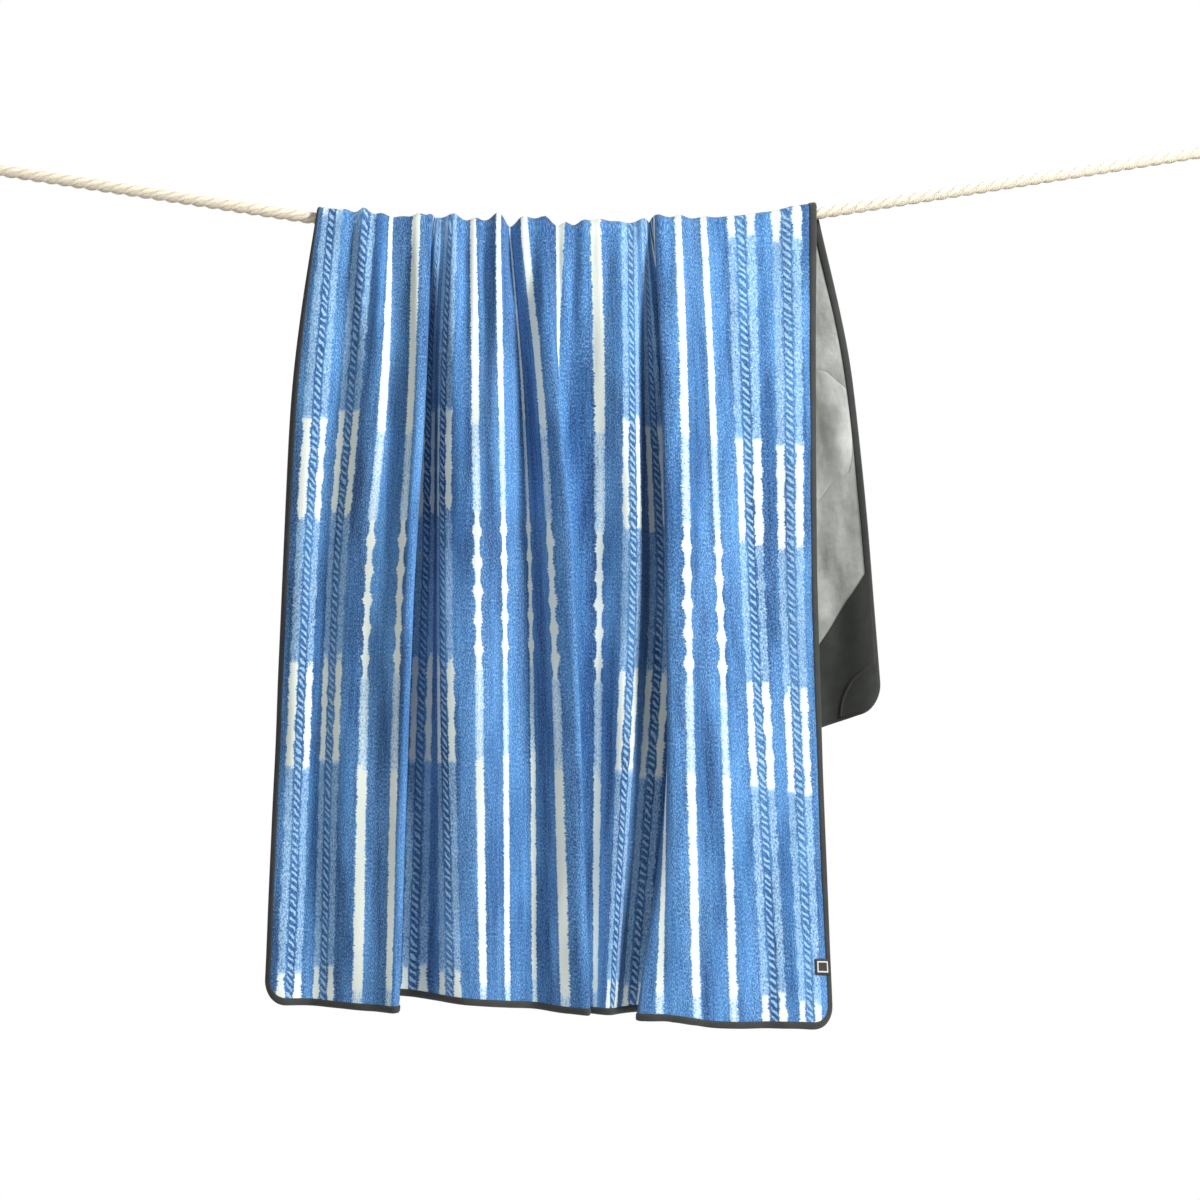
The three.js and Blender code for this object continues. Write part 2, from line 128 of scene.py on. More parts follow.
def newPiece(name, points, faces, material, uv=None, smooth=True):
    mesh = bpy.data.meshes.new(name)
    mesh.from_pydata([tuple(p) for p in np.asarray(points).tolist()], [], [tuple(f) for f in faces])
    if uv is not None:
        layer = mesh.uv_layers.new(name="flat")
        corner = np.zeros(len(mesh.loops), np.int32)
        mesh.loops.foreach_get("vertex_index", corner)
        layer.data.foreach_set("uv", np.asarray(uv, np.float32)[corner].ravel())
    mesh.polygons.foreach_set("use_smooth", [smooth] * len(mesh.polygons))
    mesh.update()
    piece = bpy.data.objects.new(name, mesh)
    bpy.context.collection.objects.link(piece)
    if material is not None:
        mesh.materials.append(material)
    return piece


def tubeFaces(stations, sides, start=0, closedLoop=False):
    # Quads between rings of points, with a fan over each end of an open tube.
    faces = []
    rings = stations if closedLoop else stations - 1
    for k in range(rings):
        here = start + k * sides
        there = start + ((k + 1) % stations) * sides
        for side in range(sides):
            other = (side + 1) % sides
            faces.append((here + side, here + other, there + other, there + side))
    if not closedLoop:
        faces.append(tuple(start + side for side in reversed(range(sides))))
        faces.append(tuple(start + (stations - 1) * sides + side for side in range(sides)))
    return faces


# Node helpers.
def feed(tree, value, socket):
    if isinstance(value, bpy.types.NodeSocket):
        tree.links.new(value, socket)
    else:
        socket.default_value = value


def addNode(tree, kind, inputs=None, **settings):
    node = tree.nodes.new(kind)
    for name, value in settings.items():
        setattr(node, name, value)
    for name, value in (inputs or {}).items():
        feed(tree, value, node.inputs[name])
    return node


def step(tree, operation, *values, clamp=False):
    node = addNode(tree, "ShaderNodeMath", operation=operation, use_clamp=clamp)
    for place, value in enumerate(values):
        feed(tree, value, node.inputs[place])
    return node.outputs[0]


def ramp(tree, value, low, high, toLow=0.0, toHigh=1.0):
    node = addNode(tree, "ShaderNodeMapRange", interpolation_type="SMOOTHSTEP")
    for name, setting in (("Value", value), ("From Min", low), ("From Max", high)):
        feed(tree, setting, node.inputs[name])
    feed(tree, toLow, node.inputs["To Min"])
    feed(tree, toHigh, node.inputs["To Max"])
    return node.outputs["Result"]


def blendColours(tree, share, first, second, mode="MIX"):
    node = addNode(tree, "ShaderNodeMix", data_type="RGBA", blend_type=mode)
    feed(tree, share, node.inputs["Factor"])
    feed(tree, first, node.inputs[6])
    feed(tree, second, node.inputs[7])
    return node.outputs[2]


def noise(tree, vector, scale, detail=2.0, roughness=0.5):
    return addNode(
        tree, "ShaderNodeTexNoise",
        {"Vector": vector, "Scale": scale, "Detail": detail, "Roughness": roughness},
    ).outputs["Fac"]


def stretched(tree, vector, scale):
    return addNode(tree, "ShaderNodeMapping", {"Vector": vector, "Scale": scale}).outputs["Vector"]


def srgb(red, green, blue):
    channels = []
    for value in (red, green, blue):
        share = value / 255
        channels.append(share / 12.92 if share <= 0.04045 else ((share + 0.055) / 1.055) ** 2.4)
    return (*channels, 1.0)


def newGroup(name, inputs, outputs):
    tree = bpy.data.node_groups.new(name, "ShaderNodeTree")
    for title, kind, value in inputs:
        socket = tree.interface.new_socket(title, in_out="INPUT", socket_type=kind)
        if value is not None:
            socket.default_value = value
    for title, kind in outputs:
        tree.interface.new_socket(title, in_out="OUTPUT", socket_type=kind)
    return tree, tree.nodes.new("NodeGroupInput"), tree.nodes.new("NodeGroupOutput")


def useGroup(tree, group, **inputs):
    node = tree.nodes.new("ShaderNodeGroup")
    node.node_tree = group
    for name, value in inputs.items():
        feed(tree, value, node.inputs[name])
    return node


def newMaterial(name, **constants):
    material = bpy.data.materials.new(name)
    material.use_nodes = True
    shader = material.node_tree.nodes["Principled BSDF"]
    for title, value in constants.items():
        shader.inputs[title.replace("_", " ")].default_value = value
    return material, material.node_tree, shader


def flatPlace(tree):
    return addNode(tree, "ShaderNodeUVMap", uv_map="flat").outputs["UV"]


def addBump(tree, shader, height, strength, distance):
    bump = addNode(tree, "ShaderNodeBump", {"Height": height, "Strength": strength, "Distance": distance})
    tree.links.new(bump.outputs["Normal"], shader.inputs["Normal"])


# Shared shader groups.
def makeFuzzGroup():
    # Short fibres: a fine speckle and a slower streak that runs along the cloth.
    tree, given, result = newGroup(
        "fibreFuzz",
        [
            ("Place", "NodeSocketVector", None),
            ("Speckle Scale", "NodeSocketFloat", 560.0),
            ("Streak Width", "NodeSocketFloat", 0.018),
        ],
        [("Speckle", "NodeSocketFloat"), ("Streak", "NodeSocketFloat")],
    )
    place = given.outputs["Place"]
    upright = stretched(tree, place, (1.0, 0.55, 1.0))
    speckle = noise(tree, upright, given.outputs["Speckle Scale"], 3.0, 0.65)
    slow = stretched(tree, place, (1.0, 0.045, 1.0))
    streakScale = step(tree, "DIVIDE", 1.0, given.outputs["Streak Width"])
    streak = noise(tree, slow, streakScale, 2.0, 0.5)
    tree.links.new(ramp(tree, speckle, 0.36, 0.64), result.inputs["Speckle"])
    tree.links.new(ramp(tree, streak, 0.33, 0.67), result.inputs["Streak"])
    return tree


def makeWeaveGroup():
    # Plain weave: two crossing sets of threads, as a height and as a soft change of shade.
    tree, given, result = newGroup(
        "plainWeave",
        [("Place", "NodeSocketVector", None), ("Thread", "NodeSocketFloat", 0.0008)],
        [("Height", "NodeSocketFloat"), ("Shade", "NodeSocketFloat")],
    )
    split = addNode(tree, "ShaderNodeSeparateXYZ", {"Vector": given.outputs["Place"]})
    turns = []
    for axis in ("X", "Y"):
        cycles = step(tree, "DIVIDE", split.outputs[axis], given.outputs["Thread"])
        turns.append(step(tree, "SINE", step(tree, "MULTIPLY", cycles, math.pi)))
    crossing = step(tree, "MULTIPLY", turns[0], turns[1])
    height = step(tree, "MULTIPLY_ADD", crossing, 0.5, 0.5)
    blotch = noise(tree, given.outputs["Place"], 60.0, 3.0)
    shade = step(tree, "MULTIPLY_ADD", height, 0.25, step(tree, "MULTIPLY", blotch, 0.75))
    tree.links.new(height, result.inputs["Height"])
    tree.links.new(shade, result.inputs["Shade"])
    return tree


fibreFuzz = makeFuzzGroup()
plainWeave = makeWeaveGroup()

# Rope.
rope = {
    "diameter": 0.016,
    "strandRadius": 0.0041,
    "helixRadius": 0.0039,
    "pitch": 0.054,
    "stationStep": 0.003,
    "sides": 12,
    "socketDepth": 0.026,
    "dark": srgb(214, 196, 160),
    "light": srgb(252, 246, 230),
}


def cottonRopeMaterial(values):
    material, tree, shader = newMaterial("cottonRope", Roughness=0.9, Sheen_Weight=0.15)
    uv = flatPlace(tree)
    split = addNode(tree, "ShaderNodeSeparateXYZ", {"Vector": uv})
    # Fine yarns run along each strand with a slight twist of their own.
    twist = step(tree, "ADD", split.outputs["Y"], step(tree, "MULTIPLY", split.outputs["X"], 14.0))
    yarn = step(tree, "SINE", step(tree, "MULTIPLY", twist, 2 * math.pi * 7))
    fuzz = useGroup(tree, fibreFuzz, Place=stretched(tree, uv, (1.0, 0.02, 1.0)))
    fuzz.inputs["Speckle Scale"].default_value = 700.0
    speckled = step(tree, "MULTIPLY_ADD", fuzz.outputs["Speckle"], 0.45, 0.35)
    shade = step(tree, "MULTIPLY_ADD", yarn, 0.16, speckled)
    colour = blendColours(tree, shade, values["dark"], values["light"])
    tree.links.new(colour, shader.inputs["Base Color"])
    addBump(tree, shader, step(tree, "MULTIPLY_ADD", yarn, 0.5, fuzz.outputs["Speckle"]), 0.6, 0.0006)
    return material


def ropeFrames(values):
    # Points along the rope's line at even steps, with the two directions across it.
    x = np.linspace(ropeX[0], ropeX[-1], 4001)
    z = ropeHeight(x)
    length = np.concatenate([[0], np.cumsum(np.hypot(np.diff(x), np.diff(z)))])
    count = int(length[-1] / values["stationStep"]) + 1
    travelled = np.linspace(0, length[-1], count)
    line = np.stack([np.interp(travelled, length, x), np.zeros(count), np.interp(travelled, length, z)], 1)
    ahead = np.gradient(line, axis=0)
    ahead /= np.linalg.norm(ahead, axis=1)[:, None]
    across = np.tile([0.0, 1.0, 0.0], (count, 1))
    upward = np.cross(ahead, across)
    return line, travelled, across, upward


def makeRope(values):
    line, travelled, across, upward = ropeFrames(values)
    sides = values["sides"]
    points, faces, uv = [], [], []
    for strand in range(3):
        turn = -2 * math.pi * travelled / values["pitch"] + 2 * math.pi * strand / 3
        outward = np.cos(turn)[:, None] * across + np.sin(turn)[:, None] * upward
        centre = line + values["helixRadius"] * outward
        faces += tubeFaces(len(line), sides, start=strand * len(line) * sides)
        rings = []
        for side in range(sides):
            angle = turn + 2 * math.pi * side / sides
            spoke = np.cos(angle)[:, None] * across + np.sin(angle)[:, None] * upward
            rings.append(centre + values["strandRadius"] * spoke)
        points.append(np.stack(rings, 1).reshape(-1, 3))
        sideShare = np.tile(np.arange(sides) / sides, len(line))
        uv.append(np.stack([np.repeat(travelled, sides), sideShare], 1))
    material = cottonRopeMaterial(values)
    piece = newPiece("ropeStrands", np.concatenate(points), faces, material, np.concatenate(uv))
    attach(piece, "line")
    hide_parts("rope")
    return piece


makeRope(rope)
print("rope made")

# The hung cloth.
cloth = {
    "width": 1.422,
    "length": 1.778,
    "wrapRadius": 0.0103,
    "faceLayer": (0.0002, 0.0021),
    "backingLayer": (-0.0008, -0.0002),
    "edgeInset": 0.004,  # the cloth ends this far inside the tape's outer edge
    "cornerRadius": 0.033,
    "columns": 280,
    "rowStep": 0.0085,
    "crownStep": 0.0028,
    "crownReach": 0.034,
}
frontLengthPlaces = [0, 0.17, 0.35, 0.6, 0.82, 0.88, 1]
frontLengths = [1.059, 1.040, 1.026, 1.037, 1.046, 1.064, 1.094]
frontStations = [0, 0.22, 0.49, 1]
backStations = [0, 0.36, 1]
curveRoundness = 0.3

# Fold columns in millimetres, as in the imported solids: the place across the flat blanket, then on the
# front x and how far the fold stands out, each at the rope, shoulder, waist and hem, then on the back
# x and how far it stands out at the shoulder and hem.
foldColumns = [
    (0, (-331, -361, -376, -398), (1, 14, 22, 26), (-334, -336), (8, 12)),
    (28, (-318, -335, -351, -374), (2, 30, 38, 36), (-312, -310), (20, 26)),
    (68, (-284, -302, -321, -339), (1, 12, 20, 20), (-281, -272), (2, 2)),
    (120, (-244, -258, -281, -296), (3, 44, 54, 46), (-242, -228), (30, 44)),
    (172, (-222, -222, -239, -250), (2, 42, 62, 58), (-214, -196), (4, 2)),
    (216, (-186, -191, -205, -222), (11, 70, 90, 82), (-186, -164), (40, 54)),
    (236, (-181, -190, -208, -228), (8, 48, 62, 54), (-178, -150), (36, 44)),
    (340, (-176, -262, -304, -320), (0, 3, 3, 2), (-166, -126), (2, 2)),
    (468, (-170, -180, -184, -203), (4, 6, 8, 10), (-150, -96), (36, 62)),
    (522, (-155, -163, -164, -152), (11, 42, 52, 44), (-130, -76), (44, 50)),
    (578, (-124, -118, -114, -108), (3, 52, 66, 58), (-108, -52), (4, 2)),
    (631, (-90, -87, -83, -79), (13, 60, 44, 46), (-84, -28), (34, 48)),
    (684, (-78, -60, -48, -43), (1, 6, 20, 26), (-62, -6), (4, 2)),
    (737, (-60, -35, -19, -3), (12, 40, 56, 54), (-38, 22), (40, 56)),
    (770, (-30, -11, 10, 29), (11, 58, 76, 70), (-24, 40), (40, 60)),
    (796, (-6, -16, -2, 16), (2, 16, 22, 18), (-2, 66), (2, 2)),
    (843, (34, 42, 40, 36), (13, 44, 32, 26), (28, 94), (32, 44)),
    (899, (84, 84, 84, 56), (2, 52, 58, 34), (62, 124), (6, 4)),
    (953, (101, 108, 118, 80), (11, 8, 8, 6), (88, 150), (42, 60)),
    (1060, (106, 182, 220, 190), (1, 2, 2, 2), (118, 176), (2, 2)),
    (1120, (110, 150, 166, 84), (8, 26, 28, 60), (142, 202), (26, 40)),
    (1190, (116, 121, 126, 138), (11, 60, 74, 68), (170, 226), (44, 58)),
    (1222, (145, 152, 156, 168), (8, 62, 76, 58), (196, 250), (30, 30)),
    (1275, (176, 186, 197, 216), (3, 44, 56, 52), (240, 292), (6, 10)),
    (1330, (226, 232, 242, 272), (2, 28, 36, 34), (290, 338), (22, 34)),
    (1384, (288, 291, 294, 318), (1, 22, 32, 38), (342, 386), (12, 22)),
    (1422, (328, 326, 328, 348), (1, 16, 22, 26), (378, 418), (6, 12)),
]
millimetre = 0.001
foldPlaces = np.array([fold[0] for fold in foldColumns]) * millimetre
frontFoldX = np.array([fold[1] for fold in foldColumns]) * millimetre
frontFoldOut = np.array([fold[2] for fold in foldColumns]) * millimetre
backFoldX = np.array([(fold[1][0], *fold[3]) for fold in foldColumns]) * millimetre
backFoldOut = np.array([(fold[2][0], *fold[4]) for fold in foldColumns]) * millimetre

# Creases that the solids are too coarse for: ripples where the cloth is gathered over the rope, and soft
# wrinkles over the whole cloth.
creases = {
    "gatherStart": -0.27,
    "gatherEnd": 0.17,
    "gatherPitch": 0.027,
    "crownHeight": 0.0060,
    "gatherHeight": 0.0095,
    "gatherSwing": 0.0012,
    "gatherStartReach": 0.030,
    "gatherReach": 0.200,
    "wrinkleHeight": 0.0011,
    "waveHeight": 0.0026,
}
fineWrinkle = smoothNoise(3, 0.05, 0.16)
broadWave = smoothNoise(5, 0.16, 0.55)
gatherDrift = smoothNoise(8, 0.30, 3.0, 6)
gatherSize = smoothNoise(13, 0.12, 0.9, 8)


def frontLengthAt(across):
    return throughCurve(frontLengthPlaces, frontLengths, across / cloth["width"])[0]


# Values of a soft curve at t along evenly indexed control rows. It is part way between the curve through
# them and the rounder one that only leans towards them.
def softCurve(values, t):
    last = len(values) - 1
    padded = np.vstack([2 * values[:1] - values[1:2], values, 2 * values[-1:] - values[-2:-1]])
    index = np.minimum(np.floor(t).astype(int), last - 1)
    f = t - index
    pick = np.arange(len(t))
    four = [padded[index + k, pick] for k in range(4)]
    rounder = (
        (1 - f) ** 3 / 6,
        (3 * f**3 - 6 * f**2 + 4) / 6,
        (-3 * f**3 + 3 * f**2 + 3 * f + 1) / 6,
        f**3 / 6,
    )
    through = (
        (-f + 2 * f**2 - f**3) / 2,
        (2 - 5 * f**2 + 3 * f**3) / 2,
        (f + 4 * f**2 - 3 * f**3) / 2,
        (f**3 - f**2) / 2,
    )
    return sum(
        value * (curveRoundness * a + (1 - curveRoundness) * b)
        for value, a, b in zip(four, rounder, through)
    )


def easeOut(distance, reach):
    return np.exp(-((distance / reach) ** 2))


# Place of the hung cloth's middle layer. across runs from the front's left edge, along from the front hem.
def drapePoint(across, along):
    frontLength = frontLengthAt(across)
    fromCrown = frontLength - along
    isFront = fromCrown >= 0
    drop = np.where(isFront, frontLength, cloth["length"] - frontLength)
    station = np.abs(fromCrown) / drop
    within = np.clip(across, 0, cloth["width"])
    index = np.clip(np.searchsorted(foldPlaces, within, side="right") - 1, 0, len(foldPlaces) - 2)
    t = index + (within - foldPlaces[index]) / (foldPlaces[index + 1] - foldPlaces[index])
    xs = np.where(
        isFront,
        throughCurve(frontStations, frontFoldX, station),
        throughCurve(backStations, backFoldX, station),
    )
    outs = np.where(
        isFront,
        throughCurve(frontStations, frontFoldOut, station),
        throughCurve(backStations, backFoldOut, station),
    )
    x = softCurve(xs, t) + across - within
    out = np.maximum(softCurve(outs, t), 0)

    # The relief depends only on the place in space, so pleats that lie on each other move together and
    # none passes through its neighbour. It only ever moves the cloth away from the rope.
    depth = np.abs(fromCrown)
    u, v = x + 1.0, fromCrown + 1.2
    gathered = easeOut(np.maximum(creases["gatherStart"] - x, 0), 0.025)
    gathered = gathered * easeOut(np.maximum(x - creases["gatherEnd"], 0), 0.025)
    fade = easeOut(depth, creases["gatherReach"])
    opening = 1 - easeOut(depth, creases["gatherStartReach"])
    height = creases["crownHeight"] + (creases["gatherHeight"] - creases["crownHeight"]) * opening
    phase = math.pi * (x / creases["gatherPitch"] + 0.35 * gatherDrift(u, v))
    size = gathered * fade * np.clip(0.75 + 0.35 * gatherSize(u, v), 0.2, 1.2)
    calm = 1 - 0.6 * easeOut(fromCrown, 0.03)
    out = out + height * size * np.sin(phase) ** 2
    out = out + calm * creases["wrinkleHeight"] * (fineWrinkle(u, v) + 1)
    out = out + calm * creases["waveHeight"] * (broadWave(u, v) + 1)
    x = x + creases["gatherSwing"] * size * np.sin(2 * phase)

    arc = np.minimum(np.abs(fromCrown), cloth["wrapRadius"] * math.pi / 2)
    angle = arc / cloth["wrapRadius"]
    fall = np.abs(fromCrown) - arc
    reach = cloth["wrapRadius"] + out
    side = np.where(isFront, -1.0, 1.0)
    return np.stack([x, side * np.sin(angle) * reach, ropeHeight(x) + np.cos(angle) * reach - fall], 1)


# Places on a layer of the cloth: the middle layer moved along its outward normal.
def layerPoint(across, along, offset):
    across = np.asarray(across, float).ravel()
    along = np.asarray(along, float).ravel()
    reach = 0.0015
    sideways = drapePoint(across + reach, along) - drapePoint(across - reach, along)
    lengthways = drapePoint(across, along + reach) - drapePoint(across, along - reach)
    normal = np.cross(sideways, lengthways)
    normal /= np.linalg.norm(normal, axis=1)[:, None]
    return drapePoint(across, along) + normal * np.asarray(offset, float).ravel()[:, None]


def clothGrid():
    # Flat places of a grid whose crown rows follow the rope, and whose ends follow the round corners.
    inset = cloth["edgeInset"]
    radius = cloth["cornerRadius"] - inset
    crown = float(frontLengthAt(np.array([cloth["width"] / 2]))[0])
    corner = inset + radius * (1 - np.cos(np.linspace(0, math.pi / 2, 7)))
    reach, fineStep, rowStep = cloth["crownReach"], cloth["crownStep"], cloth["rowStep"]
    front = np.linspace(corner[-1], crown - reach, int((crown - reach - corner[-1]) / rowStep) + 1)
    middle = np.linspace(crown - reach, crown + reach, int(2 * reach / fineStep) + 1)
    backEnd = cloth["length"] - corner[-1]
    back = np.linspace(crown + reach, backEnd, int((backEnd - crown - reach) / rowStep) + 1)
    rows = np.concatenate([corner, front[1:], middle[1:], back[1:], cloth["length"] - corner[::-1][1:]])
    fromEnd = np.minimum(rows, cloth["length"] - rows) - inset
    inCorner = np.clip(radius - fromEnd, 0, radius)
    rowInset = inset + radius - np.sqrt(radius**2 - inCorner**2)
    share = np.linspace(0, 1, cloth["columns"])
    across = rowInset[:, None] + (cloth["width"] - 2 * rowInset)[:, None] * share[None, :]
    skew = frontLengthAt(across.ravel()).reshape(across.shape) - crown
    weight = np.minimum(rows / crown, (cloth["length"] - rows) / (cloth["length"] - crown))
    return across, rows[:, None] + skew * weight[:, None]


def shellFaces(tall, wide):
    # Quads of the outer and the inner side of a grid, and of the rim that joins them.
    faces = []
    size = tall * wide
    for row in range(tall - 1):
        for column in range(wide - 1):
            a = row * wide + column
            b, c, d = a + 1, a + wide + 1, a + wide
            faces.append((a, b, c, d))
            faces.append((size + a, size + d, size + c, size + b))
    ring = [row * wide for row in range(tall)]
    ring += [(tall - 1) * wide + column for column in range(1, wide)]
    ring += [row * wide + wide - 1 for row in reversed(range(tall - 1))]
    ring += [column for column in reversed(range(1, wide - 1))]
    for here, there in zip(ring, ring[1:] + ring[:1]):
        faces.append((here, there, size + there, size + here))
    return faces


def clothShell(name, across, along, layer, material):
    inner, outer = layer
    flat = np.stack([across.ravel(), along.ravel()], 1)
    points = [layerPoint(flat[:, 0], flat[:, 1], np.full(len(flat), offset)) for offset in (outer, inner)]
    faces = shellFaces(*across.shape)
    return newPiece(name, np.concatenate(points), faces, material, np.concatenate([flat, flat]))


# Printed fleece.
fleecePrint = {
    "repeat": 0.431,
    "firstBraid": 0.037,
    "columnsPerRepeat": 8,
    "patternHalf": 0.366,  # along the cloth, from a beaded length's middle to a solid one's
    "beadMiddle": 0.546,
    "beadedTo": 0.101,
    "speckledTo": 0.219,
    "flankSolidMiddle": 0.162,
    "flankSolidHalf": 0.068,
    "lineHalf": 0.0064,
    "beadPitch": 0.038,
    "flankMiddle": 0.0122,
    "flankHalf": 0.0052,
    "braidHalf": 0.0058,
    "braidWander": 1.6,
    "frayDepth": 0.0110,
    "waverDepth": 0.0040,
    "endWander": 0.030,
    "ownShift": 0.022,
    "ownWidth": 0.0026,
    "knotHalf": 0.0034,
    "waistHalf": 0.0042,
    "knotSharpness": 2.2,
    "strandReach": 0.0044,
    "strandSlant": 0.012,
    "strandPitch": 0.0100,
    "cream": srgb(231, 238, 227),
    "deep": srgb(4, 48, 104),
    "middle": srgb(66, 138, 206),
    "pale": srgb(166, 204, 234),
    "navy": srgb(8, 42, 90),
}


def makeStripeGroup(values):
    tree, given, result = newGroup(
        "fleeceStripes",
        [
            ("Place", "NodeSocketVector", None),
            ("Line Half Width", "NodeSocketFloat", values["lineHalf"]),
            ("Bead Pitch", "NodeSocketFloat", values["beadPitch"]),
            ("Strand Pitch", "NodeSocketFloat", values["strandPitch"]),
        ],
        [("Cream", "NodeSocketFloat"), ("Braid", "NodeSocketFloat"), ("Strands", "NodeSocketFloat")],
    )
    place = given.outputs["Place"]
    split = addNode(tree, "ShaderNodeSeparateXYZ", {"Vector": place})
    across, along = split.outputs["X"], split.outputs["Y"]
    columnWidth = values["repeat"] / values["columnsPerRepeat"]
    shifted = step(tree, "ADD", across, columnWidth / 2 - values["firstBraid"])
    scaled = step(tree, "DIVIDE", shifted, columnWidth)
    column = step(tree, "FLOOR", scaled)
    local = step(tree, "MULTIPLY", step(tree, "SUBTRACT", step(tree, "FRACT", scaled), 0.5), columnWidth)
    inRepeat = step(tree, "FLOORED_MODULO", column, float(values["columnsPerRepeat"]))
    isBraid = step(tree, "LESS_THAN", inRepeat, 1.5)
    isLine = step(tree, "SUBTRACT", 1.0, isBraid)
    chance = addNode(tree, "ShaderNodeTexWhiteNoise", noise_dimensions="1D")
    tree.links.new(column, chance.inputs["W"])
    ownChance = step(tree, "SUBTRACT", chance.outputs["Value"], 0.5)

    # Ragged printed edges: short fibres at right angles to the stripe, and a slower waver.
    frayed = noise(tree, stretched(tree, place, (0.30, 1.0, 1.0)), 420.0, 3.0, 0.75)
    waver = noise(tree, stretched(tree, place, (0.8, 1.0, 1.0)), 48.0, 2.0)
    ragged = step(
        tree, "ADD",
        step(tree, "MULTIPLY", step(tree, "SUBTRACT", frayed, 0.5), values["frayDepth"]),
        step(tree, "MULTIPLY", step(tree, "SUBTRACT", waver, 0.5), values["waverDepth"]),
    )
    grain = noise(tree, stretched(tree, place, (1.0, 0.6, 1.0)), 420.0, 4.0, 0.85)

    # Where along its length a stripe is beaded, speckled or solid. Each stripe starts and stops raggedly.
    shiftAlong = step(tree, "MULTIPLY_ADD", ownChance, values["ownShift"], -values["beadMiddle"])
    moved = step(tree, "ADD", along, shiftAlong)
    raggedEnd = step(tree, "MULTIPLY", step(tree, "SUBTRACT", waver, 0.5), values["endWander"])
    frayedGrain = step(tree, "SUBTRACT", grain, 0.5)
    frayedEnd = step(tree, "MULTIPLY_ADD", frayedGrain, values["endWander"], raggedEnd)
    fromBead = step(tree, "ADD", step(tree, "PINGPONG", moved, values["patternHalf"]), frayedEnd)
    beaded = ramp(tree, fromBead, values["beadedTo"] + 0.004, values["beadedTo"] - 0.004)
    solid = ramp(tree, fromBead, values["speckledTo"] - 0.007, values["speckledTo"] + 0.007)
    speckled = step(tree, "SUBTRACT", 1.0, step(tree, "MAXIMUM", beaded, solid))

    # Beads: the stripe swells at each knot and thins between them.
    beadPhase = step(tree, "DIVIDE", moved, given.outputs["Bead Pitch"])
    beadTurn = step(tree, "MULTIPLY", beadPhase, 2 * math.pi)
    beadWave = step(tree, "MULTIPLY_ADD", step(tree, "COSINE", beadTurn), 0.5, 0.5)
    swell = step(tree, "POWER", beadWave, values["knotSharpness"])
    beadHalf = step(tree, "MULTIPLY_ADD", swell, values["knotHalf"], values["waistHalf"])
    ownHalf = step(tree, "MULTIPLY_ADD", ownChance, values["ownWidth"], given.outputs["Line Half Width"])
    plainHalf = step(tree, "MULTIPLY", step(tree, "SUBTRACT", 1.0, beaded), ownHalf)
    lineHalf = step(tree, "MULTIPLY_ADD", beaded, beadHalf, plainHalf)
    offset = step(tree, "ABSOLUTE", local)
    starRagged = step(tree, "MULTIPLY", ragged, step(tree, "MULTIPLY_ADD", swell, 0.5, 0.8))
    inside = step(tree, "ADD", step(tree, "SUBTRACT", lineHalf, offset), starRagged)
    line = ramp(tree, inside, -0.0007, 0.0012)
    paling = step(tree, "SUBTRACT", grain, step(tree, "MULTIPLY", offset, 12.0))
    thin = ramp(tree, paling, 0.26, 0.60, 0.10, 0.92)
    density = step(tree, "MULTIPLY_ADD", speckled, thin, step(tree, "SUBTRACT", 1.0, speckled))
    lineMask = step(tree, "MULTIPLY", step(tree, "MULTIPLY", line, density), isLine)

    # Flanks beside each braid: solid where the lines are speckled, and speckled elsewhere.
    fromFlank = step(tree, "ABSOLUTE", step(tree, "SUBTRACT", offset, values["flankMiddle"]))
    flankHalf = step(tree, "MULTIPLY_ADD", swell, 0.0014, values["flankHalf"] - 0.0004)
    flankInside = step(tree, "ADD", step(tree, "SUBTRACT", flankHalf, fromFlank), ragged)
    flank = ramp(tree, flankInside, -0.0007, 0.0012)
    nearMiddle = step(tree, "ABSOLUTE", step(tree, "SUBTRACT", fromBead, values["flankSolidMiddle"]))
    flankEdge = values["flankSolidHalf"]
    flankSolid = ramp(tree, nearMiddle, flankEdge + 0.003, flankEdge - 0.003)
    flankGrain = ramp(tree, grain, 0.34, 0.68, 0.06, 0.66)
    flankThin = step(tree, "MULTIPLY", step(tree, "SUBTRACT", 1.0, flankSolid), flankGrain)
    flankDensity = step(tree, "ADD", flankSolid, flankThin)
    flankMask = step(tree, "MULTIPLY", step(tree, "MULTIPLY", flank, flankDensity), isBraid)
    worn = ramp(tree, waver, 0.25, 0.6, 0.86, 1.0)
    printed = step(tree, "MULTIPLY", step(tree, "MAXIMUM", lineMask, flankMask), worn)
    tree.links.new(printed, result.inputs["Cream"])

    # The braid: a close row of slanted light dashes on a darker band.
    braidArea = ramp(tree, step(tree, "SUBTRACT", values["braidHalf"], offset), -0.0010, 0.0014)
    tree.links.new(step(tree, "MULTIPLY", braidArea, isBraid), result.inputs["Braid"])
    wander = step(tree, "MULTIPLY", step(tree, "SUBTRACT", waver, 0.5), values["braidWander"])
    lean = step(tree, "ADD", step(tree, "DIVIDE", local, values["strandSlant"]), wander)
    strandTurn = step(tree, "ADD", step(tree, "DIVIDE", along, given.outputs["Strand Pitch"]), lean)
    dash = ramp(tree, step(tree, "SINE", step(tree, "MULTIPLY", strandTurn, 2 * math.pi)), -0.1, 0.6)
    reach = ramp(tree, offset, values["strandReach"] + 0.0009, values["strandReach"] - 0.0009)
    broken = ramp(tree, grain, 0.36, 0.56, 0.25, 0.95)
    strands = step(tree, "MULTIPLY", step(tree, "MULTIPLY", dash, reach), broken)
    tree.links.new(strands, result.inputs["Strands"])
    return tree


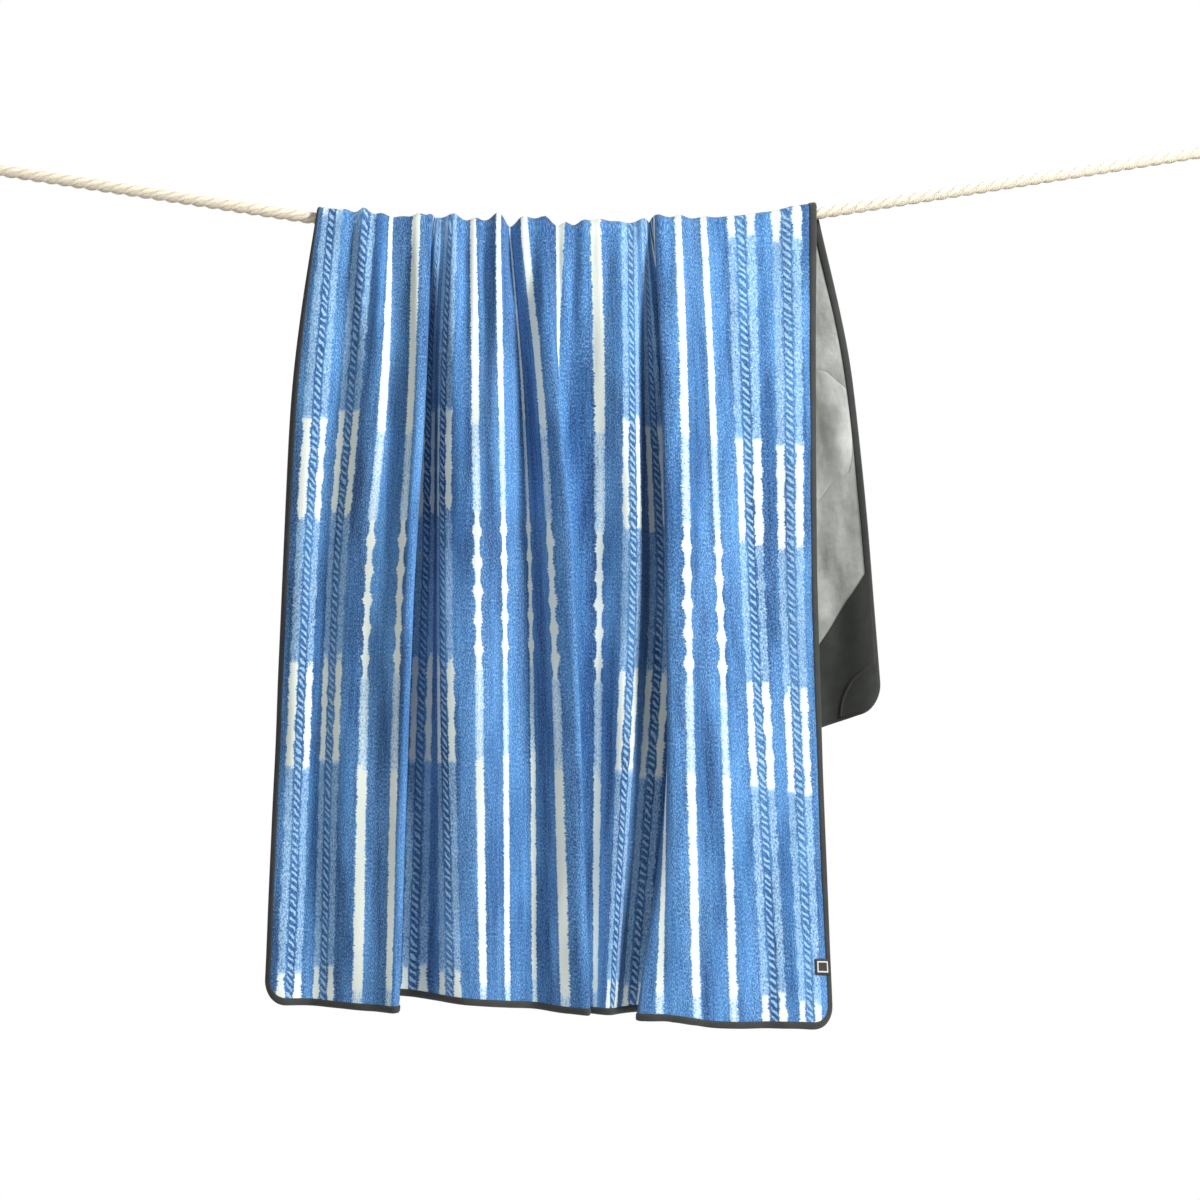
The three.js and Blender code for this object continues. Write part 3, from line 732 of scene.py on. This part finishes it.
def printedFleeceMaterial(values):
    material, tree, shader = newMaterial(
        "printedFleece",
        Roughness=0.95, Specular_IOR_Level=0.15, Sheen_Weight=0.07, Sheen_Roughness=0.6,
    )
    place = flatPlace(tree)
    fuzz = useGroup(tree, fibreFuzz, Place=place)
    stripes = useGroup(tree, makeStripeGroup(values), Place=place)
    speckle, streak = fuzz.outputs["Speckle"], fuzz.outputs["Streak"]
    hair = ramp(tree, noise(tree, stretched(tree, place, (1.0, 0.06, 1.0)), 260.0, 3.0, 0.6), 0.36, 0.64)
    patch = ramp(tree, noise(tree, stretched(tree, place, (1.0, 0.16, 1.0)), 22.0, 3.0, 0.6), 0.34, 0.66)
    uneven = step(tree, "MULTIPLY_ADD", hair, 0.24, step(tree, "MULTIPLY", patch, 0.42))
    shade = step(tree, "MULTIPLY_ADD", streak, 0.34, uneven)
    ground = blendColours(tree, shade, values["deep"], values["middle"])
    fleckShare = step(tree, "MULTIPLY_ADD", patch, 0.34, 0.26)
    flecks = step(tree, "MULTIPLY", step(tree, "POWER", speckle, 2.0), fleckShare)
    flecked = blendColours(tree, flecks, ground, values["pale"])
    band = blendColours(tree, 0.28, flecked, values["navy"])
    braid = blendColours(tree, stripes.outputs["Strands"], band, values["pale"])
    withBraid = blendColours(tree, stripes.outputs["Braid"], flecked, braid)
    # A thin print shows pale blue, and only a dense one is cream.
    ink = stripes.outputs["Cream"]
    dense = blendColours(tree, ramp(tree, ink, 0.45, 0.95), values["pale"], values["cream"])
    colour = blendColours(tree, ramp(tree, ink, 0.0, 0.6), withBraid, dense)
    tree.links.new(colour, shader.inputs["Base Color"])
    pile = noise(tree, stretched(tree, place, (1.0, 0.6, 1.0)), 900.0, 3.0, 0.7)
    height = step(tree, "MULTIPLY_ADD", speckle, 0.6, pile)
    addBump(tree, shader, height, 0.45, 0.0009)
    return material


# Coated backing.
coating = {"dark": srgb(150, 152, 148), "light": srgb(196, 198, 193)}


def coatedBackingMaterial(values):
    material, tree, shader = newMaterial(
        "coatedBacking", Roughness=0.5, Metallic=0.1, Coat_Weight=0.12, Coat_Roughness=0.4,
    )
    place = flatPlace(tree)
    cloudy = noise(tree, place, 9.0, 4.0, 0.6)
    rubbed = noise(tree, stretched(tree, place, (1.0, 0.35, 1.0)), 55.0, 5.0, 0.65)
    shade = step(tree, "MULTIPLY_ADD", cloudy, 0.8, step(tree, "MULTIPLY", rubbed, 0.4))
    colour = blendColours(tree, ramp(tree, shade, 0.40, 0.78), values["dark"], values["light"])
    tree.links.new(colour, shader.inputs["Base Color"])
    tree.links.new(ramp(tree, rubbed, 0.3, 0.7, 0.42, 0.60), shader.inputs["Roughness"])
    weave = useGroup(tree, plainWeave, Place=place, Thread=0.0011)
    crinkle = noise(tree, place, 26.0, 6.0, 0.6)
    pressed = noise(tree, stretched(tree, place, (1.0, 0.5, 1.0)), 6.5, 2.0, 0.4)
    crease = step(tree, "POWER", step(tree, "PINGPONG", step(tree, "MULTIPLY", pressed, 5.0), 1.0), 0.4)
    folded = step(tree, "MULTIPLY_ADD", crease, 0.9, crinkle)
    height = step(tree, "MULTIPLY_ADD", weave.outputs["Height"], 0.08, folded)
    addBump(tree, shader, height, 0.8, 0.005)
    return material


across, along = clothGrid()
facePiece = clothShell("faceFabric", across, along, cloth["faceLayer"], printedFleeceMaterial(fleecePrint))
coatedMaterial = coatedBackingMaterial(coating)
backingPiece = clothShell("backingFabric", across, along, cloth["backingLayer"], coatedMaterial)
print("cloth made", across.shape)

# Charcoal cloth pieces.
charcoal = {"dark": srgb(28, 29, 27), "light": srgb(58, 61, 57), "thread": srgb(64, 68, 66)}


def charcoalMaterial(name, values, threadWidth, sheen):
    material, tree, shader = newMaterial(name, Roughness=0.78, Sheen_Weight=sheen, Sheen_Roughness=0.5)
    weave = useGroup(tree, plainWeave, Place=flatPlace(tree), Thread=threadWidth)
    colour = blendColours(tree, weave.outputs["Shade"], values["dark"], values["light"])
    tree.links.new(colour, shader.inputs["Base Color"])
    addBump(tree, shader, weave.outputs["Height"], 0.5, 0.0004)
    return material


tapeMaterial = charcoalMaterial("charcoalTape", charcoal, 0.0012, 0.2)
panelMaterial = charcoalMaterial("charcoalPanel", charcoal, 0.0009, 0.1)
threadMaterial, threadTree, threadShader = newMaterial("sewingThread", Roughness=0.7, Sheen_Weight=0.2)
threadPlace = addNode(threadTree, "ShaderNodeTexCoord").outputs["Object"]
threadTree.links.new(
    blendColours(threadTree, noise(threadTree, threadPlace, 300.0), charcoal["dark"], charcoal["thread"]),
    threadShader.inputs["Base Color"],
)

tape = {
    "stationStep": 0.0035,
    "width": 0.010,
    "frontHeight": 0.0029,
    "backHeight": 0.0018,
    "stitchInset": 0.0075,
    "stitchPitch": 0.0042,
    "stitchLength": 0.0028,
    "stitchRadius": 0.00032,
}


def outlineStations(inset, stepLength):
    # Even stations round the flat outline at a distance inside it, with the outward direction of each.
    radius = cloth["cornerRadius"] - inset
    reachU = cloth["width"] / 2 - cloth["cornerRadius"]
    reachV = cloth["length"] / 2 - cloth["cornerRadius"]
    middle = np.array([cloth["width"] / 2, cloth["length"] / 2])
    places, outward = [], []
    corners = [(1, -1, -90), (1, 1, 0), (-1, 1, 90), (-1, -1, 180)]
    for number, (signU, signV, startAngle) in enumerate(corners):
        centre = middle + np.array([signU * reachU, signV * reachV])
        count = max(4, int(radius * math.pi / 2 / stepLength))
        for k in range(count):
            angle = math.radians(startAngle + 90 * k / count)
            direction = np.array([math.cos(angle), math.sin(angle)])
            places.append(centre + radius * direction)
            outward.append(direction)
        nextU, nextV, nextAngle = corners[(number + 1) % 4]
        angle = math.radians(nextAngle)
        direction = np.array([math.cos(angle), math.sin(angle)])
        start = centre + radius * direction
        end = middle + np.array([nextU * reachU, nextV * reachV]) + radius * direction
        count = int(np.linalg.norm(end - start) / stepLength)
        for k in range(count):
            places.append(start + (end - start) * k / count)
            outward.append(direction)
    return np.array(places), np.array(outward)


def makeEdgeTape(values):
    # The tape wraps the raw edge: a flat section that is rounded where it folds over.
    places, outward = outlineStations(0, values["stationStep"])
    front, back, width = values["frontHeight"], values["backHeight"], values["width"]
    section = [
        (-width, front * 0.55), (-width * 0.93, front),
        (-width * 0.6, front * 1.04), (-width * 0.25, front * 0.98),
        (-0.0006, front * 0.62), (0.0, 0.0), (-0.0006, -back * 0.6), (-width * 0.25, -back * 0.98),
        (-width * 0.6, -back * 1.04), (-width * 0.93, -back), (-width, -back * 0.55),
    ]
    rings, travelled = [], np.arange(len(places)) * values["stationStep"]
    uvRings = []
    for number, (inward, height) in enumerate(section):
        flat = places + outward * inward
        rings.append(layerPoint(flat[:, 0], flat[:, 1], np.full(len(flat), height)))
        uvRings.append(np.stack([travelled, np.full(len(flat), number * width / 5)], 1))
    points = np.stack(rings, 1).reshape(-1, 3)
    uv = np.stack(uvRings, 1).reshape(-1, 2)
    faces = [tuple(reversed(face)) for face in tubeFaces(len(places), len(section), closedLoop=True)]
    return newPiece("edgeTape", points, faces, tapeMaterial, uv)


# Stitches by geometry nodes.
def makeStitchTree():
    tree = bpy.data.node_groups.new("stitchRow", "GeometryNodeTree")
    sockets = {}
    for title, kind, value in (
        ("Geometry", "NodeSocketGeometry", None),
        ("Stitch Length", "NodeSocketFloat", 0.0028),
        ("Thread Radius", "NodeSocketFloat", 0.0003),
        ("Thread", "NodeSocketMaterial", None),
    ):
        socket = tree.interface.new_socket(title, in_out="INPUT", socket_type=kind)
        if value is not None:
            socket.default_value = value
        sockets[title] = socket.identifier
    tree.interface.new_socket("Geometry", in_out="OUTPUT", socket_type="NodeSocketGeometry")
    given, result = tree.nodes.new("NodeGroupInput"), tree.nodes.new("NodeGroupOutput")
    # One stitch: a low bead stretched along the seam.
    bead = addNode(tree, "GeometryNodeMeshUVSphere", {"Segments": 6, "Rings": 4, "Radius": 1.0})
    halfLength = step(tree, "MULTIPLY", given.outputs["Stitch Length"], 0.5)
    size = addNode(
        tree, "ShaderNodeCombineXYZ",
        {"X": halfLength, "Y": given.outputs["Thread Radius"], "Z": given.outputs["Thread Radius"]},
    )
    beadInputs = {"Geometry": bead.outputs["Mesh"], "Scale": size.outputs[0]}
    shaped = addNode(tree, "GeometryNodeTransform", beadInputs)
    ahead = addNode(tree, "GeometryNodeInputNamedAttribute", {"Name": "ahead"}, data_type="FLOAT_VECTOR")
    upward = addNode(tree, "GeometryNodeInputNamedAttribute", {"Name": "upward"}, data_type="FLOAT_VECTOR")
    aheadInput = {"Vector": ahead.outputs["Attribute"]}
    alignAhead = addNode(tree, "FunctionNodeAlignRotationToVector", aheadInput, axis="X")
    alignUp = addNode(
        tree, "FunctionNodeAlignRotationToVector",
        {"Vector": upward.outputs["Attribute"], "Rotation": alignAhead.outputs["Rotation"]},
        axis="Z", pivot_axis="X",
    )
    placed = addNode(
        tree, "GeometryNodeInstanceOnPoints",
        {
            "Points": given.outputs["Geometry"],
            "Instance": shaped.outputs["Geometry"],
            "Rotation": alignUp.outputs["Rotation"],
        },
    )
    real = addNode(tree, "GeometryNodeRealizeInstances", {"Geometry": placed.outputs["Instances"]})
    painted = addNode(
        tree, "GeometryNodeSetMaterial",
        {"Geometry": real.outputs["Geometry"], "Material": given.outputs["Thread"]},
    )
    tree.links.new(painted.outputs["Geometry"], result.inputs["Geometry"])
    return tree, sockets


stitchTree, stitchSockets = makeStitchTree()


def sewRow(name, points, ahead, upward, length, radius):
    mesh = bpy.data.meshes.new(name + "Places")
    mesh.from_pydata([tuple(p) for p in points.tolist()], [], [])
    for title, vectors in (("ahead", ahead), ("upward", upward)):
        attribute = mesh.attributes.new(title, "FLOAT_VECTOR", "POINT")
        attribute.data.foreach_set("vector", vectors.astype(np.float32).ravel())
    seed = bpy.data.objects.new(name + "Places", mesh)
    bpy.context.collection.objects.link(seed)
    modifier = seed.modifiers.new("stitches", "NODES")
    modifier.node_group = stitchTree
    modifier[stitchSockets["Stitch Length"]] = length
    modifier[stitchSockets["Thread Radius"]] = radius
    modifier[stitchSockets["Thread"]] = threadMaterial
    evaluated = seed.evaluated_get(bpy.context.evaluated_depsgraph_get())
    made = bpy.data.meshes.new_from_object(evaluated)
    made.name = name
    bpy.data.objects.remove(seed)
    made.polygons.foreach_set("use_smooth", [True] * len(made.polygons))
    piece = bpy.data.objects.new(name, made)
    bpy.context.collection.objects.link(piece)
    return piece


def sewAlong(name, flat, height, values):
    # Stitches along flat places that are spaced one stitch apart, at a height from the middle layer.
    u, v = flat[:, 0], flat[:, 1]
    points = layerPoint(u, v, np.full(len(flat), height))
    upward = layerPoint(u, v, np.full(len(flat), height + math.copysign(0.002, height))) - points
    ahead = np.roll(points, -1, axis=0) - points
    ahead[-1] = ahead[-2]
    return sewRow(name, points, ahead, upward, values["stitchLength"], values["stitchRadius"])


edgeTape = makeEdgeTape(tape)
stitchFlat, _ = outlineStations(tape["stitchInset"], tape["stitchPitch"])
tapeStitchesFront = sewAlong("tapeStitchesFront", stitchFlat, tape["frontHeight"] * 1.02, tape)
tapeStitchesBack = sewAlong("tapeStitchesBack", stitchFlat, -tape["backHeight"] * 1.02, tape)
print("tape sewn")

# Corner panels and pockets.
cornerPieces = {
    "leg": 0.193,
    "pocketRadius": 0.062,
    "panelLayer": (-0.0019, -0.0012),
    "pocketLayer": (-0.0030, -0.0023),
    "inset": 0.004,
    "rows": 44,
    "columns": 44,
    "hemRadius": 0.0007,
    "seamInset": 0.006,
}
cornersOfCloth = {
    "FrontLeft": ("front_left", 0, 0),
    "FrontRight": ("front_right", 1, 0),
    "BackLeft": ("back_left", 0, 1),
    "BackRight": ("back_right", 1, 1),
}


def cornerStart(depth):
    # How far the round corner cuts in from the side, at a depth from the end.
    inset = cornerPieces["inset"]
    radius = cloth["cornerRadius"] - inset
    inCorner = np.clip(radius - (depth - inset), 0, radius)
    return inset + radius - np.sqrt(radius**2 - inCorner**2)


def cornerPlaces(sideways, depth, rightSide, backEnd):
    u = cloth["width"] - sideways if rightSide else sideways
    v = cloth["length"] - depth if backEnd else depth
    return u, v


def cornerPatch(name, reachAt, deepest, layer, rightSide, backEnd):
    # A thin shell over the corner, out to reachAt(depth) from the side.
    rows, columns = cornerPieces["rows"], cornerPieces["columns"]
    inset = cornerPieces["inset"]
    share = np.linspace(0, 1, rows)
    depth = inset + (deepest - inset) * (1 - np.cos(share * math.pi / 2)) ** 0.9
    depth = np.repeat(depth[:, None], columns, 1)
    start = cornerStart(depth)
    end = np.maximum(reachAt(depth), start + 0.0004)
    sideways = start + (end - start) * np.linspace(0, 1, columns)[None, :]
    u, v = cornerPlaces(sideways, depth, rightSide, backEnd)
    flat = np.stack([u.ravel(), v.ravel()], 1)
    outer, inner = layer[1], layer[0]
    points = [layerPoint(flat[:, 0], flat[:, 1], np.full(len(flat), offset)) for offset in (outer, inner)]
    faces = shellFaces(rows, columns)
    if rightSide != backEnd:
        faces = [tuple(reversed(face)) for face in faces]
    return newPiece(name, np.concatenate(points), faces, panelMaterial, np.concatenate([flat, flat]))


def makeHem(name, flat, height, radius):
    # A narrow turned hem: a flattened tube along flat places.
    u, v = flat[:, 0], flat[:, 1]
    line = layerPoint(u, v, np.full(len(flat), height))
    upward = layerPoint(u, v, np.full(len(flat), height + 0.002)) - line
    upward /= np.linalg.norm(upward, axis=1)[:, None]
    ahead = np.gradient(line, axis=0)
    side = np.cross(upward, ahead)
    side /= np.linalg.norm(side, axis=1)[:, None]
    sides = 8
    rings = []
    for number in range(sides):
        angle = 2 * math.pi * number / sides
        rings.append(line + 2.6 * radius * math.cos(angle) * side + radius * math.sin(angle) * upward)
    points = np.stack(rings, 1).reshape(-1, 3)
    travelled = np.concatenate([[0], np.cumsum(np.linalg.norm(np.diff(line, axis=0), axis=1))])
    uv = np.stack([np.repeat(travelled, sides), np.tile(np.arange(sides) * radius, len(line))], 1)
    return newPiece(name, points, tubeFaces(len(line), sides), panelMaterial, uv)


def makeCorner(title, node, rightSide, backEnd):
    leg, radius = cornerPieces["leg"], cornerPieces["pocketRadius"]
    panel = cornerPatch(
        "cornerPanel" + title, lambda depth: leg - depth, leg - 0.006, cornerPieces["panelLayer"],
        rightSide, backEnd,
    )
    pocket = cornerPatch(
        "cornerPocket" + title,
        lambda depth: np.sqrt(np.maximum(radius**2 - depth**2, 0)),
        radius * 0.998, cornerPieces["pocketLayer"], rightSide, backEnd,
    )
    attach(panel, "blanket")
    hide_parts("corner_panel_" + node)
    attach(pocket, "blanket")
    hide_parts("corner_pocket_" + node)

    pitch = tape["stitchPitch"]
    inset = cornerPieces["inset"]
    # Two rows of stitches along the slanting edge of the panel.
    rows = []
    for distance in (0.0025, cornerPieces["seamInset"]):
        reach = leg - distance * math.sqrt(2)
        count = int((reach - 2 * inset) * math.sqrt(2) / pitch)
        depth = np.linspace(inset * 2, reach - inset * 2, count)
        u, v = cornerPlaces(reach - depth, depth, rightSide, backEnd)
        rows.append(sewAlong(f"panelSeam{title}{len(rows) + 1}", np.stack([u, v], 1), -0.0020, tape))
    # The pocket's round edge is hemmed and sewn.
    count = int(radius * math.pi / 2 / 0.002)
    angle = np.linspace(math.radians(5), math.radians(85), count)
    u, v = cornerPlaces(radius * np.cos(angle), radius * np.sin(angle), rightSide, backEnd)
    rows.append(makeHem(f"pocketHem{title}", np.stack([u, v], 1), -0.0030, cornerPieces["hemRadius"]))
    sewn = radius - 0.0035
    angle = np.linspace(math.radians(6), math.radians(84), int(sewn * math.pi / 2 / pitch))
    u, v = cornerPlaces(sewn * np.cos(angle), sewn * np.sin(angle), rightSide, backEnd)
    rows.append(sewAlong(f"pocketSeam{title}", np.stack([u, v], 1), -0.0031, tape))
    for piece in rows:
        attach(piece, "blanket")
    return [panel, pocket, *rows]


cornerTrim = []
for title, (node, rightSide, backEnd) in cornersOfCloth.items():
    cornerTrim += makeCorner(title, node, bool(rightSide), bool(backEnd))
print("corners made")

# Woven label.
label = {
    "width": 0.024,
    "height": 0.021,
    "aboveHem": 0.072,
    "overTape": 0.004,
    "lift": 0.0031,
    "thickness": 0.0009,
    "black": srgb(20, 21, 24),
    "cream": srgb(206, 204, 192),
}


def wovenLabelMaterial(values):
    # Plain black damask with a cream line woven just inside its edge.
    material, tree, shader = newMaterial("blackLabel", Roughness=0.6, Sheen_Weight=0.1)
    place = flatPlace(tree)
    split = addNode(tree, "ShaderNodeSeparateXYZ", {"Vector": place})
    fromMiddle = []
    for axis, size in (("X", values["width"]), ("Y", values["height"])):
        away = step(tree, "ABSOLUTE", split.outputs[axis])
        fromMiddle.append(step(tree, "SUBTRACT", size / 2, away))
    fromEdge = step(tree, "MINIMUM", fromMiddle[0], fromMiddle[1])
    offLine = step(tree, "ABSOLUTE", step(tree, "SUBTRACT", fromEdge, 0.0040))
    border = ramp(tree, step(tree, "SUBTRACT", 0.0009, offLine), -0.0002, 0.0002)
    weave = useGroup(tree, plainWeave, Place=place, Thread=0.0006)
    black = blendColours(tree, weave.outputs["Shade"], values["black"], srgb(40, 41, 46))
    tree.links.new(blendColours(tree, border, black, values["cream"]), shader.inputs["Base Color"])
    addBump(tree, shader, weave.outputs["Height"], 0.4, 0.0003)
    return material


def makeLabel(values):
    columns, rows = 16, 14
    right = cloth["width"] - values["overTape"]
    across = np.linspace(right - values["width"], right, columns)[None, :] + np.zeros((rows, 1))
    heights = np.linspace(values["aboveHem"], values["aboveHem"] + values["height"], rows)
    along = heights[:, None] + np.zeros((1, columns))
    points = []
    for offset in (values["lift"] + values["thickness"], values["lift"]):
        points.append(layerPoint(across, along, np.full(across.size, offset)))
    middle = (right - values["width"] / 2, values["aboveHem"] + values["height"] / 2)
    uv = np.stack([across.ravel() - middle[0], along.ravel() - middle[1]], 1)
    piece = newPiece(
        "wovenLabel", np.concatenate(points), shellFaces(rows, columns), wovenLabelMaterial(values),
        np.concatenate([uv, uv]),
    )
    return piece


labelPiece = makeLabel(label)

# Rope sockets keep their solids.
socket = {"dark": srgb(128, 130, 133), "light": srgb(196, 198, 200)}


def brushedSteelMaterial(values):
    material, tree, shader = newMaterial("brushedSteel", Metallic=1.0, Roughness=0.35)
    place = addNode(tree, "ShaderNodeTexCoord").outputs["Object"]
    grain = noise(tree, stretched(tree, place, (1.0, 1.0, 0.03)), 1400.0, 4.0, 0.7)
    worn = noise(tree, place, 40.0, 3.0)
    shade = step(tree, "MULTIPLY_ADD", grain, 0.6, step(tree, "MULTIPLY", worn, 0.4))
    tree.links.new(blendColours(tree, shade, values["dark"], values["light"]), shader.inputs["Base Color"])
    tree.links.new(ramp(tree, shade, 0.3, 0.7, 0.26, 0.46), shader.inputs["Roughness"])
    addBump(tree, shader, grain, 0.3, 0.0002)
    return material


steel = brushedSteelMaterial(socket)
for name in ("rope_socket_left", "rope_socket_right"):
    nodes[name].data.materials.clear()
    nodes[name].data.materials.append(steel)
print("sockets painted")

# Each piece hangs from the blanket, and the solid it stands for is hidden.
for piece, node, finish in (
    (facePiece, "face_fabric", "printed_fleece"),
    (backingPiece, "backing_fabric", "coated_backing"),
    (edgeTape, "edge_tape", "charcoal_cloth"),
    (labelPiece, "woven_label", "black_label"),
):
    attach(piece, "blanket")
    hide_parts(node)
for piece in (tapeStitchesFront, tapeStitchesBack):
    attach(piece, "blanket")

# Floor, light and background.
studio = {
    "floorDrop": 0.50,
    "floorRadius": 1.2,
    "air": 0.36,
    "key": (2.8, -2.3, 1.4, 0.9, 215.0),
    "fill": (-1.6, -4.2, 0.2, 2.4, 26.0),
    "rim": (0.9, 3.0, 1.2, 2.0, 30.0),
}


def makeFloor(values):
    count = 96
    height = cadBox[0][2] - values["floorDrop"]
    ring = [
        (
            values["floorRadius"] * math.cos(2 * math.pi * k / count),
            values["floorRadius"] * math.sin(2 * math.pi * k / count),
            height,
        )
        for k in range(count)
    ]
    material, tree, shader = newMaterial("paleFloor", Roughness=0.8)
    place = addNode(tree, "ShaderNodeTexCoord").outputs["Object"]
    tone = ramp(tree, noise(tree, place, 3.0), 0.0, 1.0, 0.91, 0.93)
    tree.links.new(tone, shader.inputs["Base Color"])
    floor = newPiece("floor", ring, [tuple(range(count))], material, smooth=False)


def addSoftbox(name, x, y, z, size, power):
    data = bpy.data.lights.new(name, "AREA")
    data.shape = "SQUARE"
    data.size = size
    data.energy = power
    lamp = bpy.data.objects.new(name, data)
    lamp.location = (x, y, z)
    aim = Vector((0, 0, -0.45)) - lamp.location
    lamp.rotation_euler = aim.to_track_quat("-Z", "Y").to_euler()
    bpy.context.collection.objects.link(lamp)


def lightStudio(values):
    world = bpy.data.worlds.new("studioAir")
    world.use_nodes = True
    background = world.node_tree.nodes["Background"]
    background.inputs["Color"].default_value = (1.0, 1.0, 1.0, 1.0)
    seen = addNode(world.node_tree, "ShaderNodeLightPath").outputs["Is Camera Ray"]
    strength = step(world.node_tree, "MAXIMUM", seen, values["air"])  # the backdrop itself stays white
    world.node_tree.links.new(strength, background.inputs["Strength"])
    bpy.context.scene.world = world
    for name in ("key", "fill", "rim"):
        addSoftbox(name, *values[name])
    bpy.context.scene.view_settings.view_transform = "Standard"


makeFloor(studio)
lightStudio(studio)
